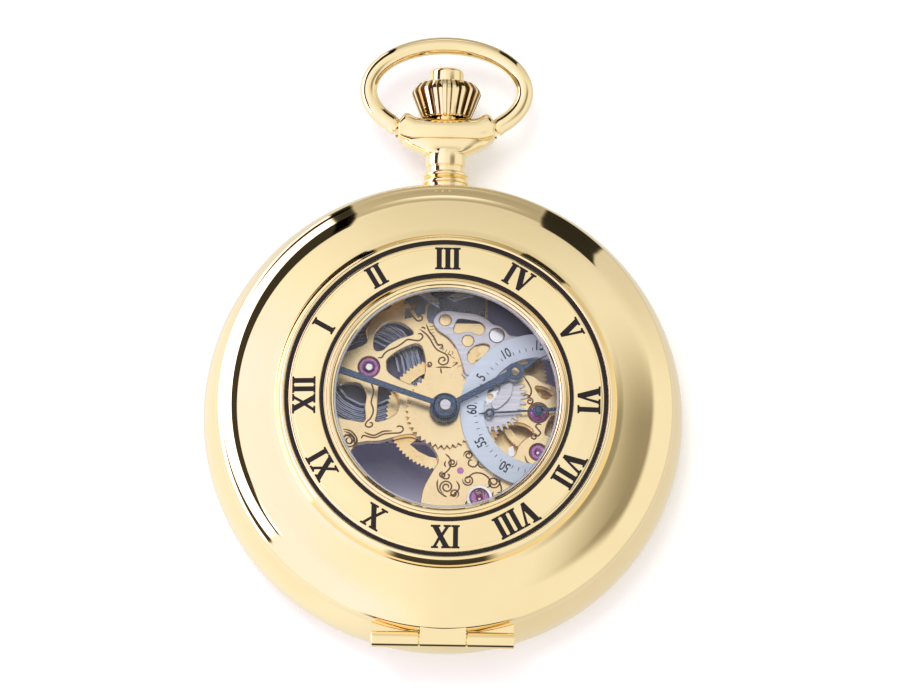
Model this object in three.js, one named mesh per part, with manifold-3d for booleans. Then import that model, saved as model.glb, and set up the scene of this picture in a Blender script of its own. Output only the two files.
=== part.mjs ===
// Half-hunter pocket watch with a skeletonised hand-wound movement, in millimetres.
// The watch lies on its back: +Z leaves the dial, +Y is the crown, -Y the lid hinge, and XII points to -X.
import * as THREE from 'three';
import { mergeVertices } from 'three/addons/utils/BufferGeometryUtils.js';
import Module from 'manifold-3d';

const wasm = await Module();
wasm.setup();

// ---- driving dimensions ----
const CASE_RADIUS = 25;
const SEAM_Z = 8.55;                 // parting plane of band and lid
const PLATEAU_Z = 14.2;              // top of the chapter ring
const STEM_Z = 5.2;                  // height of the winding stem, pendant and bow pivots
const HINGE = { y: -24.6, z: 8.6, radius: 0.85, halfLength: 7.45, knuckle: 2.5 };
const WINDOW_RADIUS = 11.75;
const CHAPTER = { inner: 12.75, outer: 17.6 };
const MOVEMENT_RADIUS = 18.2;
const PLATE = { bottom: 6.4, top: 7.6 };
const BRIDGE = { bottom: 3.1, top: 4.3 };
const FIT = 0.05;                    // radial play of pieces that sit in one another

const BARREL = { x: -7.9, y: 4.6, teeth: 72 };
const CENTRE = { x: 0, y: 0, teeth: 80, module: 0.15, pinionTeeth: 12 };
const THIRD = { teeth: 75, module: 0.145, pinionTeeth: 10 };
const FOURTH = { x: 9.8, y: 0, teeth: 80, module: 0.0955, pinionTeeth: 10 };
const ESCAPE = { teeth: 15, pinionTeeth: 8, radius: 2.25 };
const BALANCE = { x: 3.75, y: -9.2, radius: 5.4 };
const PALLET_FROM_ESCAPE = 2.9;
const SECONDS_RING = { inner: 5.7, outer: 8.2, bottom: 8.35, top: 8.55 };
const CANNON_TEETH = 12;
const MINUTE = { distance: 5, direction: 18, teeth: 36, pinionTeeth: 10 };
const HOUR_TEETH = 40;
const SETTING = { teeth: 14, direction: 120 };
const CROWN_WHEEL = { x: 0, teeth: 34, module: 0.25 };
const RATCHET_TEETH = 50;
const HAND_ANGLES = { hour: 28.5, minute: 161.6, seconds: 184.4 };
const BOW = { y: 35, halfWidth: 8.2, halfHeight: 4.9, wire: 0.9, pivotY: 30.4 };

const CASE_SIDES = 36;

// ---- materials ----
const material = (color, roughness, metalness, more = {}) =>
  new THREE.MeshStandardMaterial({ color, roughness, metalness, ...more });
const GOLD = material(0xe6cf8f, 0.16, 1);
const PLATE_GOLD = material(0xdfb765, 0.35, 1);
const WHEEL_BRASS = material(0xd8a84c, 0.35, 1);
const STEEL = material(0xb9bcc4, 0.3, 1);
const SPRING_STEEL = material(0x8d95a5, 0.35, 1);
const BLUED_STEEL = material(0x3f5273, 0.3, 1);
const DIAL_BLUE = material(0xbfd0e2, 0.45, 0.3);
const RUBY = material(0xc0338c, 0.1, 0);
const CRYSTAL = material(0xf2f7fa, 0.05, 0, { transparent: true, opacity: 0.25 });

// ---- geometry helpers ----
const radians = THREE.MathUtils.degToRad;
const degrees = THREE.MathUtils.radToDeg;

function polar(radius, angle, x = 0, y = 0) {
  return [x + radius * Math.cos(radians(angle)), y + radius * Math.sin(radians(angle))];
}

function arc(radius, from, to, steps, x = 0, y = 0) {
  const points = [];
  for (let i = 0; i <= steps; i += 1) {
    points.push(polar(radius, from + (to - from) * i / steps, x, y));
  }
  return points;
}

function circle(radius, x = 0, y = 0, sides = 16) {
  return arc(radius, 0, 360, sides, x, y).slice(0, -1);
}

// One closed skin with shared vertices, no slivers and its faces pointing out.
function closed(geometry) {
  geometry.deleteAttribute('normal');
  geometry.deleteAttribute('uv');
  const merged = mergeVertices(geometry, 1e-4);
  const place = merged.attributes.position;
  const corner = [new THREE.Vector3(), new THREE.Vector3(), new THREE.Vector3()];
  const kept = [];
  let volume = 0;
  for (let i = 0; i < merged.index.count; i += 3) {
    const face = [0, 1, 2].map((k) => merged.index.getX(i + k));
    if (new Set(face).size === 3) {
      face.forEach((vertex, k) => corner[k].fromBufferAttribute(place, vertex));
      volume += corner[0].dot(corner[1].clone().cross(corner[2]));
      kept.push(face);
    }
  }
  const outward = volume < 0 ? kept.map(([a, b, c]) => [a, c, b]) : kept;
  merged.setIndex(outward.flat());
  return merged;
}

function extruded(outline, holes, bottom, top) {
  const shape = new THREE.Shape(outline.map(([x, y]) => new THREE.Vector2(x, y)));
  shape.holes = holes.map((hole) => new THREE.Path(hole.map(([x, y]) => new THREE.Vector2(x, y))));
  const geometry = new THREE.ExtrudeGeometry(shape, { depth: top - bottom, bevelEnabled: false });
  return closed(geometry.translate(0, 0, bottom));
}

function disc(radius, bottom, top, x = 0, y = 0, sides = 16) {
  return extruded(circle(radius, x, y, sides), [], bottom, top);
}

function washer(outer, inner, bottom, top, x = 0, y = 0, sides = 16) {
  return extruded(circle(outer, x, y, sides), [circle(inner, x, y, sides)], bottom, top);
}

function block(low, high) {
  const size = high.map((value, i) => value - low[i]);
  const middle = high.map((value, i) => (value + low[i]) / 2);
  return closed(new THREE.BoxGeometry(...size).translate(...middle));
}

// A profile of [radius, height] points turned about Z.
function turned(profile, sides = CASE_SIDES, x = 0, y = 0) {
  const points = profile.map(([radius, height]) => new THREE.Vector2(radius, height));
  const lathe = new THREE.LatheGeometry(points, sides).rotateX(Math.PI / 2);
  return closed(lathe.translate(x, y, 0));
}

function turnedRing(profile, sides = CASE_SIDES) {
  return turned([...profile, profile[0]], sides);
}

// Lays a piece built about Z along the winding stem, so that its height becomes Y.
function alongStem(geometry) {
  return geometry.rotateX(-Math.PI / 2).translate(0, 0, STEM_Z);
}

function toSolid(geometry) {
  const vertProperties = new Float32Array(geometry.attributes.position.array);
  const triVerts = new Uint32Array(geometry.index.array);
  return new wasm.Manifold(new wasm.Mesh({ numProp: 3, vertProperties, triVerts }));
}

function toGeometry(solid) {
  const mesh = solid.getMesh();
  const geometry = new THREE.BufferGeometry();
  geometry.setAttribute('position', new THREE.BufferAttribute(new Float32Array(mesh.vertProperties), 3));
  geometry.setIndex(new THREE.BufferAttribute(new Uint32Array(mesh.triVerts), 1));
  return geometry;
}

function joined(base, ...others) {
  return toGeometry(others.reduce((solid, other) => solid.add(toSolid(other)), toSolid(base)));
}

function cut(base, ...tools) {
  return toGeometry(tools.reduce((solid, tool) => solid.subtract(toSolid(tool)), toSolid(base)));
}

// ---- gearing ----
const wheelRadius = (teeth, module) => teeth * module / 2;

// Pointed teeth: tips half a module outside the pitch circle, roots 1.4 modules inside it.
function gearOutline(gear) {
  const pitchRadius = wheelRadius(gear.teeth, gear.module);
  const points = [];
  for (let i = 0; i < gear.teeth; i += 1) {
    const angle = gear.phase + 360 * i / gear.teeth;
    points.push(polar(pitchRadius + 0.5 * gear.module, angle, gear.x, gear.y));
    points.push(polar(pitchRadius - 1.4 * gear.module, angle + 180 / gear.teeth, gear.x, gear.y));
  }
  return points;
}

// The phase that puts a gap of the second gear at each tooth of the first on their line of centres.
function meshPhase(first, second) {
  const line = degrees(Math.atan2(second.y - first.y, second.x - first.x));
  const turn = (line - first.phase) / (360 / first.teeth);
  return line + 180 + (turn - Math.floor(turn) - 0.5) * 360 / second.teeth;
}

function meshed(first, second) {
  return { ...second, phase: meshPhase(first, second) };
}

// The openings between a wheel's arms.
function crossings(x, y, inner, outer, arms, armAngle, start = 0) {
  const openings = [];
  for (let i = 0; i < arms; i += 1) {
    const from = start + 360 * i / arms + armAngle;
    const to = start + 360 * (i + 1) / arms - armAngle;
    const inside = arc(inner, to - armAngle, from + armAngle, 1, x, y);
    openings.push([...arc(outer, from, to, 4, x, y), ...inside]);
  }
  return openings;
}

function rimOpenings(gear, hub, arms = 4) {
  const rim = wheelRadius(gear.teeth, gear.module) * 0.8;
  return crossings(gear.x, gear.y, hub, rim, arms, 7, gear.phase);
}

function pinion(gear, bottom, top) {
  return extruded(gearOutline(gear), [], bottom, top);
}

const towards = (from, direction, distance) => {
  const [x, y] = polar(distance, direction, from.x, from.y);
  return { x, y };
};

// ---- layout of the gear train ----
const barrelModule = 2 * Math.hypot(BARREL.x, BARREL.y) / (BARREL.teeth + CENTRE.pinionTeeth);
const barrelGear = { ...BARREL, module: barrelModule, phase: 0 };
const centrePinion = meshed(barrelGear, { x: 0, y: 0, teeth: CENTRE.pinionTeeth, module: barrelModule });
const centreGear = { ...CENTRE, phase: 0 };

const centreToThird = wheelRadius(CENTRE.teeth + THIRD.pinionTeeth, CENTRE.module);
const thirdToFourth = wheelRadius(THIRD.teeth + FOURTH.pinionTeeth, THIRD.module);
const thirdX = (centreToThird ** 2 - thirdToFourth ** 2 + FOURTH.x ** 2) / (2 * FOURTH.x);
const thirdAxis = { x: thirdX, y: Math.sqrt(centreToThird ** 2 - thirdX ** 2) };
const thirdPinion = meshed(centreGear, { ...thirdAxis, teeth: THIRD.pinionTeeth, module: CENTRE.module });
const thirdGear = { ...thirdAxis, teeth: THIRD.teeth, module: THIRD.module, phase: 0 };
const fourthPinion = meshed(thirdGear, { ...FOURTH, teeth: FOURTH.pinionTeeth, module: THIRD.module });
const fourthGear = { ...FOURTH, phase: 0 };

const fourthToEscape = wheelRadius(FOURTH.teeth + ESCAPE.pinionTeeth, FOURTH.module);
const escapeAxis = towards(FOURTH, -90, fourthToEscape);
const escapeGear = { ...escapeAxis, teeth: ESCAPE.pinionTeeth, module: FOURTH.module };
const escapePinion = meshed(fourthGear, escapeGear);
const forkLine = degrees(Math.atan2(BALANCE.y - escapeAxis.y, BALANCE.x - escapeAxis.x));
const palletAxis = towards(escapeAxis, forkLine, PALLET_FROM_ESCAPE);

const minuteAxis = towards(CENTRE, MINUTE.direction, MINUTE.distance);
const cannonModule = 2 * MINUTE.distance / (CANNON_TEETH + MINUTE.teeth);
const hourModule = 2 * MINUTE.distance / (MINUTE.pinionTeeth + HOUR_TEETH);
const cannonGear = { x: 0, y: 0, teeth: CANNON_TEETH, module: cannonModule, phase: 0 };
const minuteGear = meshed(cannonGear, { ...minuteAxis, teeth: MINUTE.teeth, module: cannonModule });
const minutePinion = { ...minuteAxis, teeth: MINUTE.pinionTeeth, module: hourModule, phase: 0 };
const hourGear = meshed(minutePinion, { x: 0, y: 0, teeth: HOUR_TEETH, module: hourModule });
const settingDistance = wheelRadius(MINUTE.teeth + SETTING.teeth, cannonModule);
const settingAxis = towards(minuteAxis, SETTING.direction, settingDistance);
const settingGear = meshed(minuteGear, { ...settingAxis, teeth: SETTING.teeth, module: cannonModule });

const windingDistance = wheelRadius(CROWN_WHEEL.teeth + RATCHET_TEETH, CROWN_WHEEL.module);
const crownWheelY = BARREL.y + Math.sqrt(windingDistance ** 2 - BARREL.x ** 2);
const crownWheelGear = { ...CROWN_WHEEL, y: crownWheelY, phase: 0 };
const ratchetGear = meshed(crownWheelGear, { ...BARREL, teeth: RATCHET_TEETH, module: CROWN_WHEEL.module });

// ---- case ----
const hingeBore = (radius, halfLength) => closed(
  new THREE.CylinderGeometry(radius, radius, 2 * halfLength, 16).rotateZ(Math.PI / 2)
    .translate(0, HINGE.y, HINGE.z));

function knuckle(from, to) {
  const length = to - from;
  const barrel = new THREE.CylinderGeometry(HINGE.radius, HINGE.radius, length, 16).rotateZ(Math.PI / 2);
  return closed(barrel.translate((from + to) / 2, HINGE.y, HINGE.z));
}

const stemHole = (radius, from, to) => alongStem(disc(radius, from, to));

function caseBand() {
  const profile = [
    [22.5, 2.2], [23.9, 2.2], [24.65, 3.2], [CASE_RADIUS, 4.6], [CASE_RADIUS, 5.6],
    [24.8, 7.2], [24.45, SEAM_Z], [22.5, SEAM_Z],
  ];
  const clearance = hingeBore(HINGE.radius + 0.1, HINGE.halfLength + 0.1);
  const ring = cut(turnedRing(profile), clearance, stemHole(2.35, 21, 27));
  const outer = [knuckle(-HINGE.halfLength, -HINGE.knuckle), knuckle(HINGE.knuckle, HINGE.halfLength)];
  const webs = [-1, 1].map((side) => {
    const ends = [side * HINGE.knuckle, side * HINGE.halfLength].sort((a, b) => a - b);
    return block([ends[0], HINGE.y - 0.3, HINGE.z - 1.4], [ends[1], HINGE.y + 0.7, HINGE.z - 0.3]);
  });
  return cut(joined(ring, ...outer, ...webs), hingeBore(0.4, 9));
}

function pendant() {
  const neck = alongStem(turned([
    [0, 23.2], [2.25, 23.2], [2.25, 25.2], [2.75, 25.4], [2.75, 25.9], [2.25, 26.1], [2.45, 26.3],
    [2.45, 26.8], [2.2, 27], [2.45, 27.2], [2.45, 27.7], [2.2, 27.9], [2.2, 28.9], [0, 28.9],
  ], 24));
  const side = [[2.6, 28.2], [4.3, 28.9], [5.05, 29.7], [5.05, 31.2], [4.3, 32.3]];
  const outline = [...side, ...side.map(([x, y]) => [-x, y]).reverse()];
  const head = extruded(outline, [], STEM_Z - 2.2, STEM_Z + 2.2);
  const pivots = [-1, 1].map((end) => {
    const hole = new THREE.CylinderGeometry(0.7, 0.7, 2, 12).rotateZ(Math.PI / 2);
    return closed(hole.translate(end * 4.75, BOW.pivotY, STEM_Z));
  });
  return cut(joined(neck, head), stemHole(0.9, 22, 30), stemHole(1.4, 29.4, 34), ...pivots);
}

function bow() {
  const loop = [];
  for (let angle = -38; angle <= 218; angle += 8) {
    const x = BOW.halfWidth * Math.cos(radians(angle));
    loop.push(new THREE.Vector3(x, BOW.y + BOW.halfHeight * Math.sin(radians(angle)), STEM_Z));
  }
  const foot = [6.0, BOW.pivotY + 0.45];
  const path = new THREE.CatmullRomCurve3([
    new THREE.Vector3(foot[0], foot[1], STEM_Z), ...loop, new THREE.Vector3(-foot[0], foot[1], STEM_Z),
  ]);
  const section = new THREE.Shape(circle(BOW.wire, 0, 0, 8).map(([x, y]) => new THREE.Vector2(x, y)));
  const sweep = { steps: 36, extrudePath: path, bevelEnabled: false };
  const wire = closed(new THREE.ExtrudeGeometry(section, sweep));
  const pins = [-1, 1].map((end) => {
    const pin = new THREE.CylinderGeometry(0.6, 0.6, 2.3, 12).rotateZ(Math.PI / 2);
    return closed(pin.translate(end * 5.05, BOW.pivotY, STEM_Z));
  });
  return joined(wire, ...pins);
}

function innerBezel() {
  const ring = turnedRing([
    [18.9, 8.65], [23.2, 8.65], [23.1, 9.1], [21.2, 10.9],
    [20.4, 11.5], [19.6, 11.5], [19.6, 11], [18.9, 11],
  ]);
  return cut(ring, block([-3.1, 20.8, 8], [3.1, 24, 12]));
}

const mainCrystal = () => turned([[0, 11.05], [19.5, 11.05], [19.5, 11.6], [18.5, 11.8], [0, 11.8]]);

function backBezel() {
  return turnedRing([
    [16.9, 0.9], [17, 0.3], [17.8, 0], [20.5, 0], [22.3, 0.5], [23.5, 1.4], [23.85, 2.1], [18.2, 2.1],
    [18.2, 1.75], [16.9, 1.75],
  ]);
}

const backCrystal = () => turned([[0, 0], [16.2, 0], [16.8, 0.5], [16.8, 1.6], [0, 1.6]]);

function movementRing() {
  const ring = turnedRing([[18.3, BRIDGE.bottom], [22.4, BRIDGE.bottom], [22.4, 7.6], [18.3, 7.6]]);
  return cut(ring, stemHole(1, 17, 24), block([-3, 21.8, 2], [3, 23.5, 9]));
}

function springStrip(radius, from, to) {
  const outline = [...arc(radius + 0.3, from, to, 16), ...arc(radius - 0.3, to, from, 16)];
  return extruded(outline, [], 7.75, 8.4);
}

const lidCatch = () => block([-2.5, 21.9, SEAM_Z + 0.15], [2.5, 23.15, 9.4]);

// ---- lid ----
function lidShell() {
  const rim = [0, 25, 50, 73].map((angle) =>
    [20.85 + 3.6 * Math.cos(radians(angle)), 8.65 + 4.4 * Math.sin(radians(angle))]);
  const ring = turnedRing([
    ...rim, [17.9, 13.95], [17.7, 13.4], [12.4, 13.4], [12.4, 12.7], [17.4, 12.7], [20.9, 11.7],
    [22.5, 10.6], [23.3, 9.6], [23.55, 8.65],
  ]);
  const tabHalf = HINGE.knuckle - 0.1;
  const tab = block([-tabHalf, HINGE.y, HINGE.z + 0.05], [tabHalf, HINGE.y + 1, HINGE.z + 0.8]);
  const shell = joined(
    cut(ring, hingeBore(HINGE.radius + 0.1, HINGE.halfLength + 0.1)),
    knuckle(-HINGE.knuckle + 0.1, HINGE.knuckle - 0.1), tab);
  return cut(shell, hingeBore(0.4, 9));
}

const chapterRing = () => turnedRing([
  [CHAPTER.inner, 13.45], [CHAPTER.outer, 13.45], [CHAPTER.outer, 14.05], [CHAPTER.outer - 0.2, PLATEAU_Z],
  [CHAPTER.inner, PLATEAU_Z],
]);

const lidBezel = () => turnedRing([
  [WINDOW_RADIUS, 12.8], [12.3, 12.8], [12.3, 13.5], [12.7, 13.5], [12.7, 14.1], [12.4, 14.3], [12, 14.25],
  [WINDOW_RADIUS, 13.9],
]);

const lidCrystal = () => turned([[0, 13], [11.7, 13], [11.7, 13.55], [11.4, 13.75], [0, 13.75]]);

// ---- crown and keyless work ----
function crown() {
  const flutes = [];
  for (let i = 0; i < 18; i += 1) {
    flutes.push(polar(3.6, 20 * i), polar(3.2, 20 * i + 10));
  }
  const head = alongStem(extruded(flutes, [], 32.9, 36.2));
  const sleeve = alongStem(disc(1.25, 30, 33));
  const bores = [stemHole(0.55, 29, 33.25), stemHole(0.6, 34, 37), stemHole(1.9, 35.5, 37)];
  return cut(joined(head, sleeve), ...bores);
}

const windingStem = () => alongStem(disc(0.45, 9.8, 33.2, 0, 0, 12));

function releaseButton() {
  return joined(alongStem(disc(1.75, 36.25, 37.3)), alongStem(disc(0.5, 34.7, 36.3, 0, 0, 12)));
}

function windingPinion() {
  const teeth = { x: 0, y: 0, teeth: 12, module: 0.28, phase: 0 };
  return alongStem(extruded(gearOutline(teeth), [circle(0.55, 0, 0, 12)], 14.4, 15.9));
}

const slidingPinion = () => alongStem(washer(0.85, 0.55, 11.6, 13.9));

// A flat lever with a round boss on its pivot.
function pivotedArm(outline, boss, bore, bottom, top, x, y) {
  const arm = joined(extruded(outline, [], bottom, top), disc(boss, bottom, top, x, y));
  return cut(arm, disc(bore, bottom - 1, top + 1, x, y));
}

function settingLever() {
  const arm = [[0.3, 12.4], [0.9, 11.9], [2.9, 12.6], [2.3, 13.6]];
  return pivotedArm(arm, 0.7, 0.25, 6.85, 7.15, 2.6, 13.1);
}

function yoke() {
  const arm = [[-0.6, 11.2], [-0.6, 11.8], [-2.6, 13.6], [-3.3, 13]];
  return pivotedArm(arm, 0.7, 0.25, 6.85, 7.15, -3, 13.4);
}

function settingLeverSpring() {
  const outline = [
    [-1.2, 9.3], [-0.6, 8.7], [0.6, 8.3], [1.6, 7.2], [1.8, 5.6], [1.6, 4.7], [2.5, 3.9], [3.4, 4.3],
    [4.6, 6.2], [6, 6.9], [7.8, 7.4], [8.3, 8.1], [7.8, 8.9], [5.2, 10.3], [1.2, 10.9], [1, 13.2],
    [-1.6, 13.2], [-1.5, 10.6],
  ];
  const slot = [[1.3, 8.9], [3.9, 8.3], [4.3, 9], [3.6, 9.7], [1.4, 9.9]];
  const plate = extruded(outline, [slot, circle(0.5, -0.2, 9.8, 12)], 8, 8.25);
  return joined(plate, disc(0.6, PLATE.top, 8.1, 5.6, 8.4), disc(0.5, PLATE.top, 8.1, 0.5, 8.75));
}

// ---- movement ----
function mainPlate() {
  const armHalf = 9;
  const armAngles = [30, 160, 274, 390];
  const barrelWindows = armAngles.slice(1).map((angle, i) => [
    ...arc(5.6, armAngles[i] + armHalf, angle - armHalf, 8, BARREL.x, BARREL.y),
    ...arc(1.7, angle - 2 * armHalf, armAngles[i] + 2 * armHalf, 4, BARREL.x, BARREL.y),
  ]);
  const lowerLeft = [
    [-8.9, -3.9], [-4.4, -2.7], [-1.9, -2.9], [-0.7, -5], [-1.6, -8], [-2.6, -14], [-8.5, -13], [-12.5, -9],
    [-11.5, -5],
  ];
  const gearWindow = [[4.2, -1.3], [8.2, -1.3], [8.2, -5.2], [6.6, -5.4], [4.6, -3.4]];
  const rightWindow = [[11.4, -1], [15.5, -1.2], [14.8, -6], [11.4, -6.4], [11, -3.6]];
  const upperWindow = [[8.2, 1.4], [11.4, 1.4], [15.2, 1.6], [13.6, 7.2], [9, 7.4], [7.2, 5.4]];
  const axes = [[CENTRE, 0.5], [BARREL, 1.15], [thirdAxis, 0.65], [FOURTH, 0.95], [escapeAxis, 0.85],
    [BALANCE, 1.05], [palletAxis, 0.3]];
  const holes = axes.map(([axis, radius]) => circle(radius, axis.x, axis.y, 14));
  const openings = [...barrelWindows, lowerLeft, gearWindow, rightWindow, upperWindow];
  const rim = circle(MOVEMENT_RADIUS, 0, 0, CASE_SIDES);
  const plate = extruded(rim, [...openings, ...holes], PLATE.bottom, PLATE.top);
  const pocket = block([-4.4, 9.2, 6.8], [4.4, 16.6, 9]);
  return cut(plate, pocket, block([-2.1, 11, 5], [2.1, 16.4, 9]));
}

function bridgePillars(places) {
  const pillar = ([radius, angle]) => disc(0.8, BRIDGE.bottom, PLATE.bottom, ...polar(radius, angle), 12);
  return places.map(pillar);
}

function trainBridge() {
  const outline = [...arc(18, -42, 205, 30), [-11, -2.2], [-2.4, -2.6], [5, -2.6], [8, -6.6], [11, -7.6]];
  const open = [
    ...crossings(BARREL.x, BARREL.y, 2.2, 5, 3, 12, 40),
    [[-2.2, 14.1], [2.2, 14.1], [2.2, 16.4], [-2.2, 16.4]],
    [[3.4, 8.4], [9.6, 9.4], [7, 13.8], [4.6, 13.6]],
    [[10.4, 3], [15, 2.6], [13, 8], [9.6, 6.4]],
  ];
  const axes = [[CENTRE, 0.35], [BARREL, 0.8], [thirdAxis, 0.3], [FOURTH, 0.3], [escapeAxis, 0.3]];
  const holes = axes.map(([axis, radius]) => circle(radius, axis.x, axis.y, 12));
  const plate = extruded(outline, [...open, ...holes], BRIDGE.bottom, BRIDGE.top);
  const seat = disc(0.95, 2.4, BRIDGE.bottom + 0.2, CROWN_WHEEL.x, crownWheelY);
  const pillars = bridgePillars([[16.8, 175], [16.9, 122], [16.9, 62], [16.9, 42], [16.9, -12]]);
  return joined(plate, seat, ...pillars);
}

function balanceCock() {
  const arm = [
    polar(17.8, -112), polar(17.8, -100), [4.6, -10.6], [5, -9], [3.7, -7.9], [2.3, -8.8], [2, -9.8],
  ];
  const plate = extruded(arm, [circle(0.3, BALANCE.x, BALANCE.y, 12)], BRIDGE.bottom, BRIDGE.top);
  return joined(plate, ...bridgePillars([[16.6, -108]]));
}

function palletBridge() {
  const feet = [90, -90].map((turn) => towards(palletAxis, forkLine + turn, 2.7));
  const side = (foot, sign) => polar(0.6, forkLine + sign * 180, foot.x, foot.y);
  const outline = [side(feet[0], 0), side(feet[0], 1), side(feet[1], 1), side(feet[1], 0)];
  const bar = extruded(outline, [circle(0.3, palletAxis.x, palletAxis.y, 10)], 5.4, 5.65);
  return joined(bar, ...feet.map((foot) => disc(0.6, 5.4, PLATE.bottom, foot.x, foot.y, 12)));
}

const arbor = (profile, axis) => turned(profile, 8, axis.x, axis.y);

// Staff of a train wheel, pivoted in the bridge below it and in its jewel above.
const trainArbor = (radius, journal, top, axis) => arbor([
  [0, 3.4], [0.2, 3.4], [0.2, 4.35], [radius, 4.4],
  [radius, 6.3], [journal, 6.4], [journal, top], [0, top],
], axis);

function barrel() {
  const wall = [[0, 4.5], [7.2, 4.5], [7.2, 5.65], [6.95, 5.65], [6.95, 4.7], [0, 4.7]];
  const drum = turned(wall, 30, BARREL.x, BARREL.y);
  const rim = extruded(gearOutline(barrelGear), [circle(7, BARREL.x, BARREL.y, 30)], 5.05, 5.35);
  return cut(joined(drum, rim), disc(0.8, 4, 6, BARREL.x, BARREL.y));
}

function spiral(inner, outer, turns, width, steps, axis, bottom, top) {
  const side = (offset) => {
    const points = [];
    for (let i = 0; i <= steps; i += 1) {
      const radius = inner + (outer - inner) * i / steps;
      points.push(polar(radius + offset, 360 * turns * i / steps, axis.x, axis.y));
    }
    return points;
  };
  return extruded([...side(-width / 2), ...side(width / 2).reverse()], [], bottom, top);
}

const mainspring = () => spiral(3.2, 6.7, 6, 0.22, 84, BARREL, 4.8, 5.5);

const barrelArbor = () => arbor([
  [0, 2.2], [0.7, 2.2], [0.7, 4.75], [1.3, 4.75], [1.3, 5.5], [0.4, 5.7], [0.4, 7.5], [0, 7.5]], BARREL);

function ratchetWheel() {
  const holes = [circle(0.75, BARREL.x, BARREL.y, 10), ...crossings(BARREL.x, BARREL.y, 2, 4.6, 4, 10)];
  return extruded(gearOutline(ratchetGear), holes, 2.5, 3);
}

function crownWheel() {
  return extruded(gearOutline(crownWheelGear), [circle(1, CROWN_WHEEL.x, crownWheelY, 20)], 2.5, 3);
}

function click() {
  const beak = [[-12.8, 11.3], [-12.4, 10.2], [-9.2, 11.1], [-9.2, 11.4]];
  return pivotedArm(beak, 0.85, 0.3, 2.5, 3, -12.6, 10.7);
}

const clickSpring = () => extruded([...arc(16.9, 118, 131, 6), ...arc(16.6, 131, 118, 6)], [], 2.5, 3);

function centreWheel() {
  const wheel = extruded(gearOutline(centreGear), rimOpenings(centreGear, 1.9, 5), 5.95, 6.15);
  const shaft = arbor([
    [0, 3.4], [0.25, 3.4], [0.25, 4.35], [0.4, 4.4], [0.4, 7.6], [0.3, 7.7], [0.3, 9.9], [0, 9.9],
  ], CENTRE);
  return joined(wheel, shaft, pinion(centrePinion, 4.95, 6));
}

function thirdWheel() {
  const wheel = extruded(gearOutline(thirdGear), rimOpenings(thirdGear, 1.5), 4.6, 4.8);
  const shaft = trainArbor(0.3, 0.2, 7.2, thirdAxis);
  return joined(wheel, shaft, pinion(thirdPinion, 5.8, 6.3));
}

function fourthWheel() {
  const wheel = extruded(gearOutline(fourthGear), rimOpenings(fourthGear, 1.2), 5.3, 5.5);
  const shaft = trainArbor(0.3, 0.2, 8.95, FOURTH);
  return joined(wheel, shaft, pinion(fourthPinion, 4.45, 4.95));
}

function escapeWheel() {
  const teeth = [];
  for (let i = 0; i < ESCAPE.teeth; i += 1) {
    const angle = 360 * i / ESCAPE.teeth;
    teeth.push(polar(1.65, angle - 12, escapeAxis.x, escapeAxis.y));
    teeth.push(polar(ESCAPE.radius, angle + 6, escapeAxis.x, escapeAxis.y));
    teeth.push(polar(1.65, angle + 5, escapeAxis.x, escapeAxis.y));
  }
  const wheel = extruded(teeth, crossings(escapeAxis.x, escapeAxis.y, 0.7, 1.35, 4, 10), 5.9, 6.1);
  const shaft = trainArbor(0.28, 0.15, 7.2, escapeAxis);
  return joined(wheel, shaft, pinion(escapePinion, 5.15, 5.65));
}

// Lever, two pallets astride the escape wheel and a pivoted arbor.
function palletFork() {
  const along = (distance, offset) => {
    const point = towards(palletAxis, forkLine, distance);
    return polar(Math.abs(offset), forkLine + Math.sign(offset) * 90, point.x, point.y);
  };
  const outline = [
    along(-1.55, -2.35), along(-1.0, -2.5), along(0.45, -0.5), along(2.9, -0.12), along(3.5, -0.45),
    along(3.9, -0.42), along(3.45, 0), along(3.9, 0.42), along(3.5, 0.45), along(2.9, 0.12), along(0.45, 0.5),
    along(-1.0, 2.5), along(-1.55, 2.35), along(-0.35, 0.5), along(-0.35, -0.5),
  ];
  const shaft = arbor([[0, 5.45], [0.22, 5.45], [0.22, 7], [0, 7]], palletAxis);
  return joined(extruded(outline, [], 5.9, 6.1), shaft);
}

function balanceWheel() {
  const outline = circle(BALANCE.radius, BALANCE.x, BALANCE.y, 36);
  const rim = extruded(outline, crossings(BALANCE.x, BALANCE.y, 0.9, 4.8, 2, 6), 4.8, 5.15);
  const staff = arbor([
    [0, 3.4], [0.2, 3.4], [0.25, 4.35], [0.25, 5.8],
    [0.7, 5.85], [0.7, 6.1], [0.15, 6.2], [0.15, 7.2], [0, 7.2],
  ], BALANCE);
  return joined(rim, staff);
}

const hairspring = () => spiral(0.6, 3.1, 5, 0.1, 60, BALANCE, 4.45, 4.65);

// ---- motion work, dial ring and hands ----
function cannonPinion() {
  const body = turned([[0, 7.65], [0.75, 7.65], [0.75, 10.45], [0.55, 10.75], [0, 10.75]], 16);
  return cut(joined(body, pinion(cannonGear, 7.65, 7.95)), disc(0.36, 7, 10.1, 0, 0, 12));
}

function hourWheel() {
  const tube = washer(1.15, 0.85, 8, 9.55, 0, 0, 16);
  return joined(extruded(gearOutline(hourGear), [circle(1, 0, 0, 16)], 8, 8.2), tube);
}

function minuteWheel() {
  const wheel = extruded(gearOutline(minuteGear), rimOpenings(minuteGear, 1.4), 7.7, 7.9);
  const hub = pinion(minutePinion, 7.8, 8.22);
  return cut(joined(wheel, hub), disc(0.3, 7, 9, minuteAxis.x, minuteAxis.y, 10));
}

const settingWheel = () =>
  extruded(gearOutline(settingGear), [circle(0.5, settingAxis.x, settingAxis.y, 12)], 7.7, 7.9);

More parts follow.
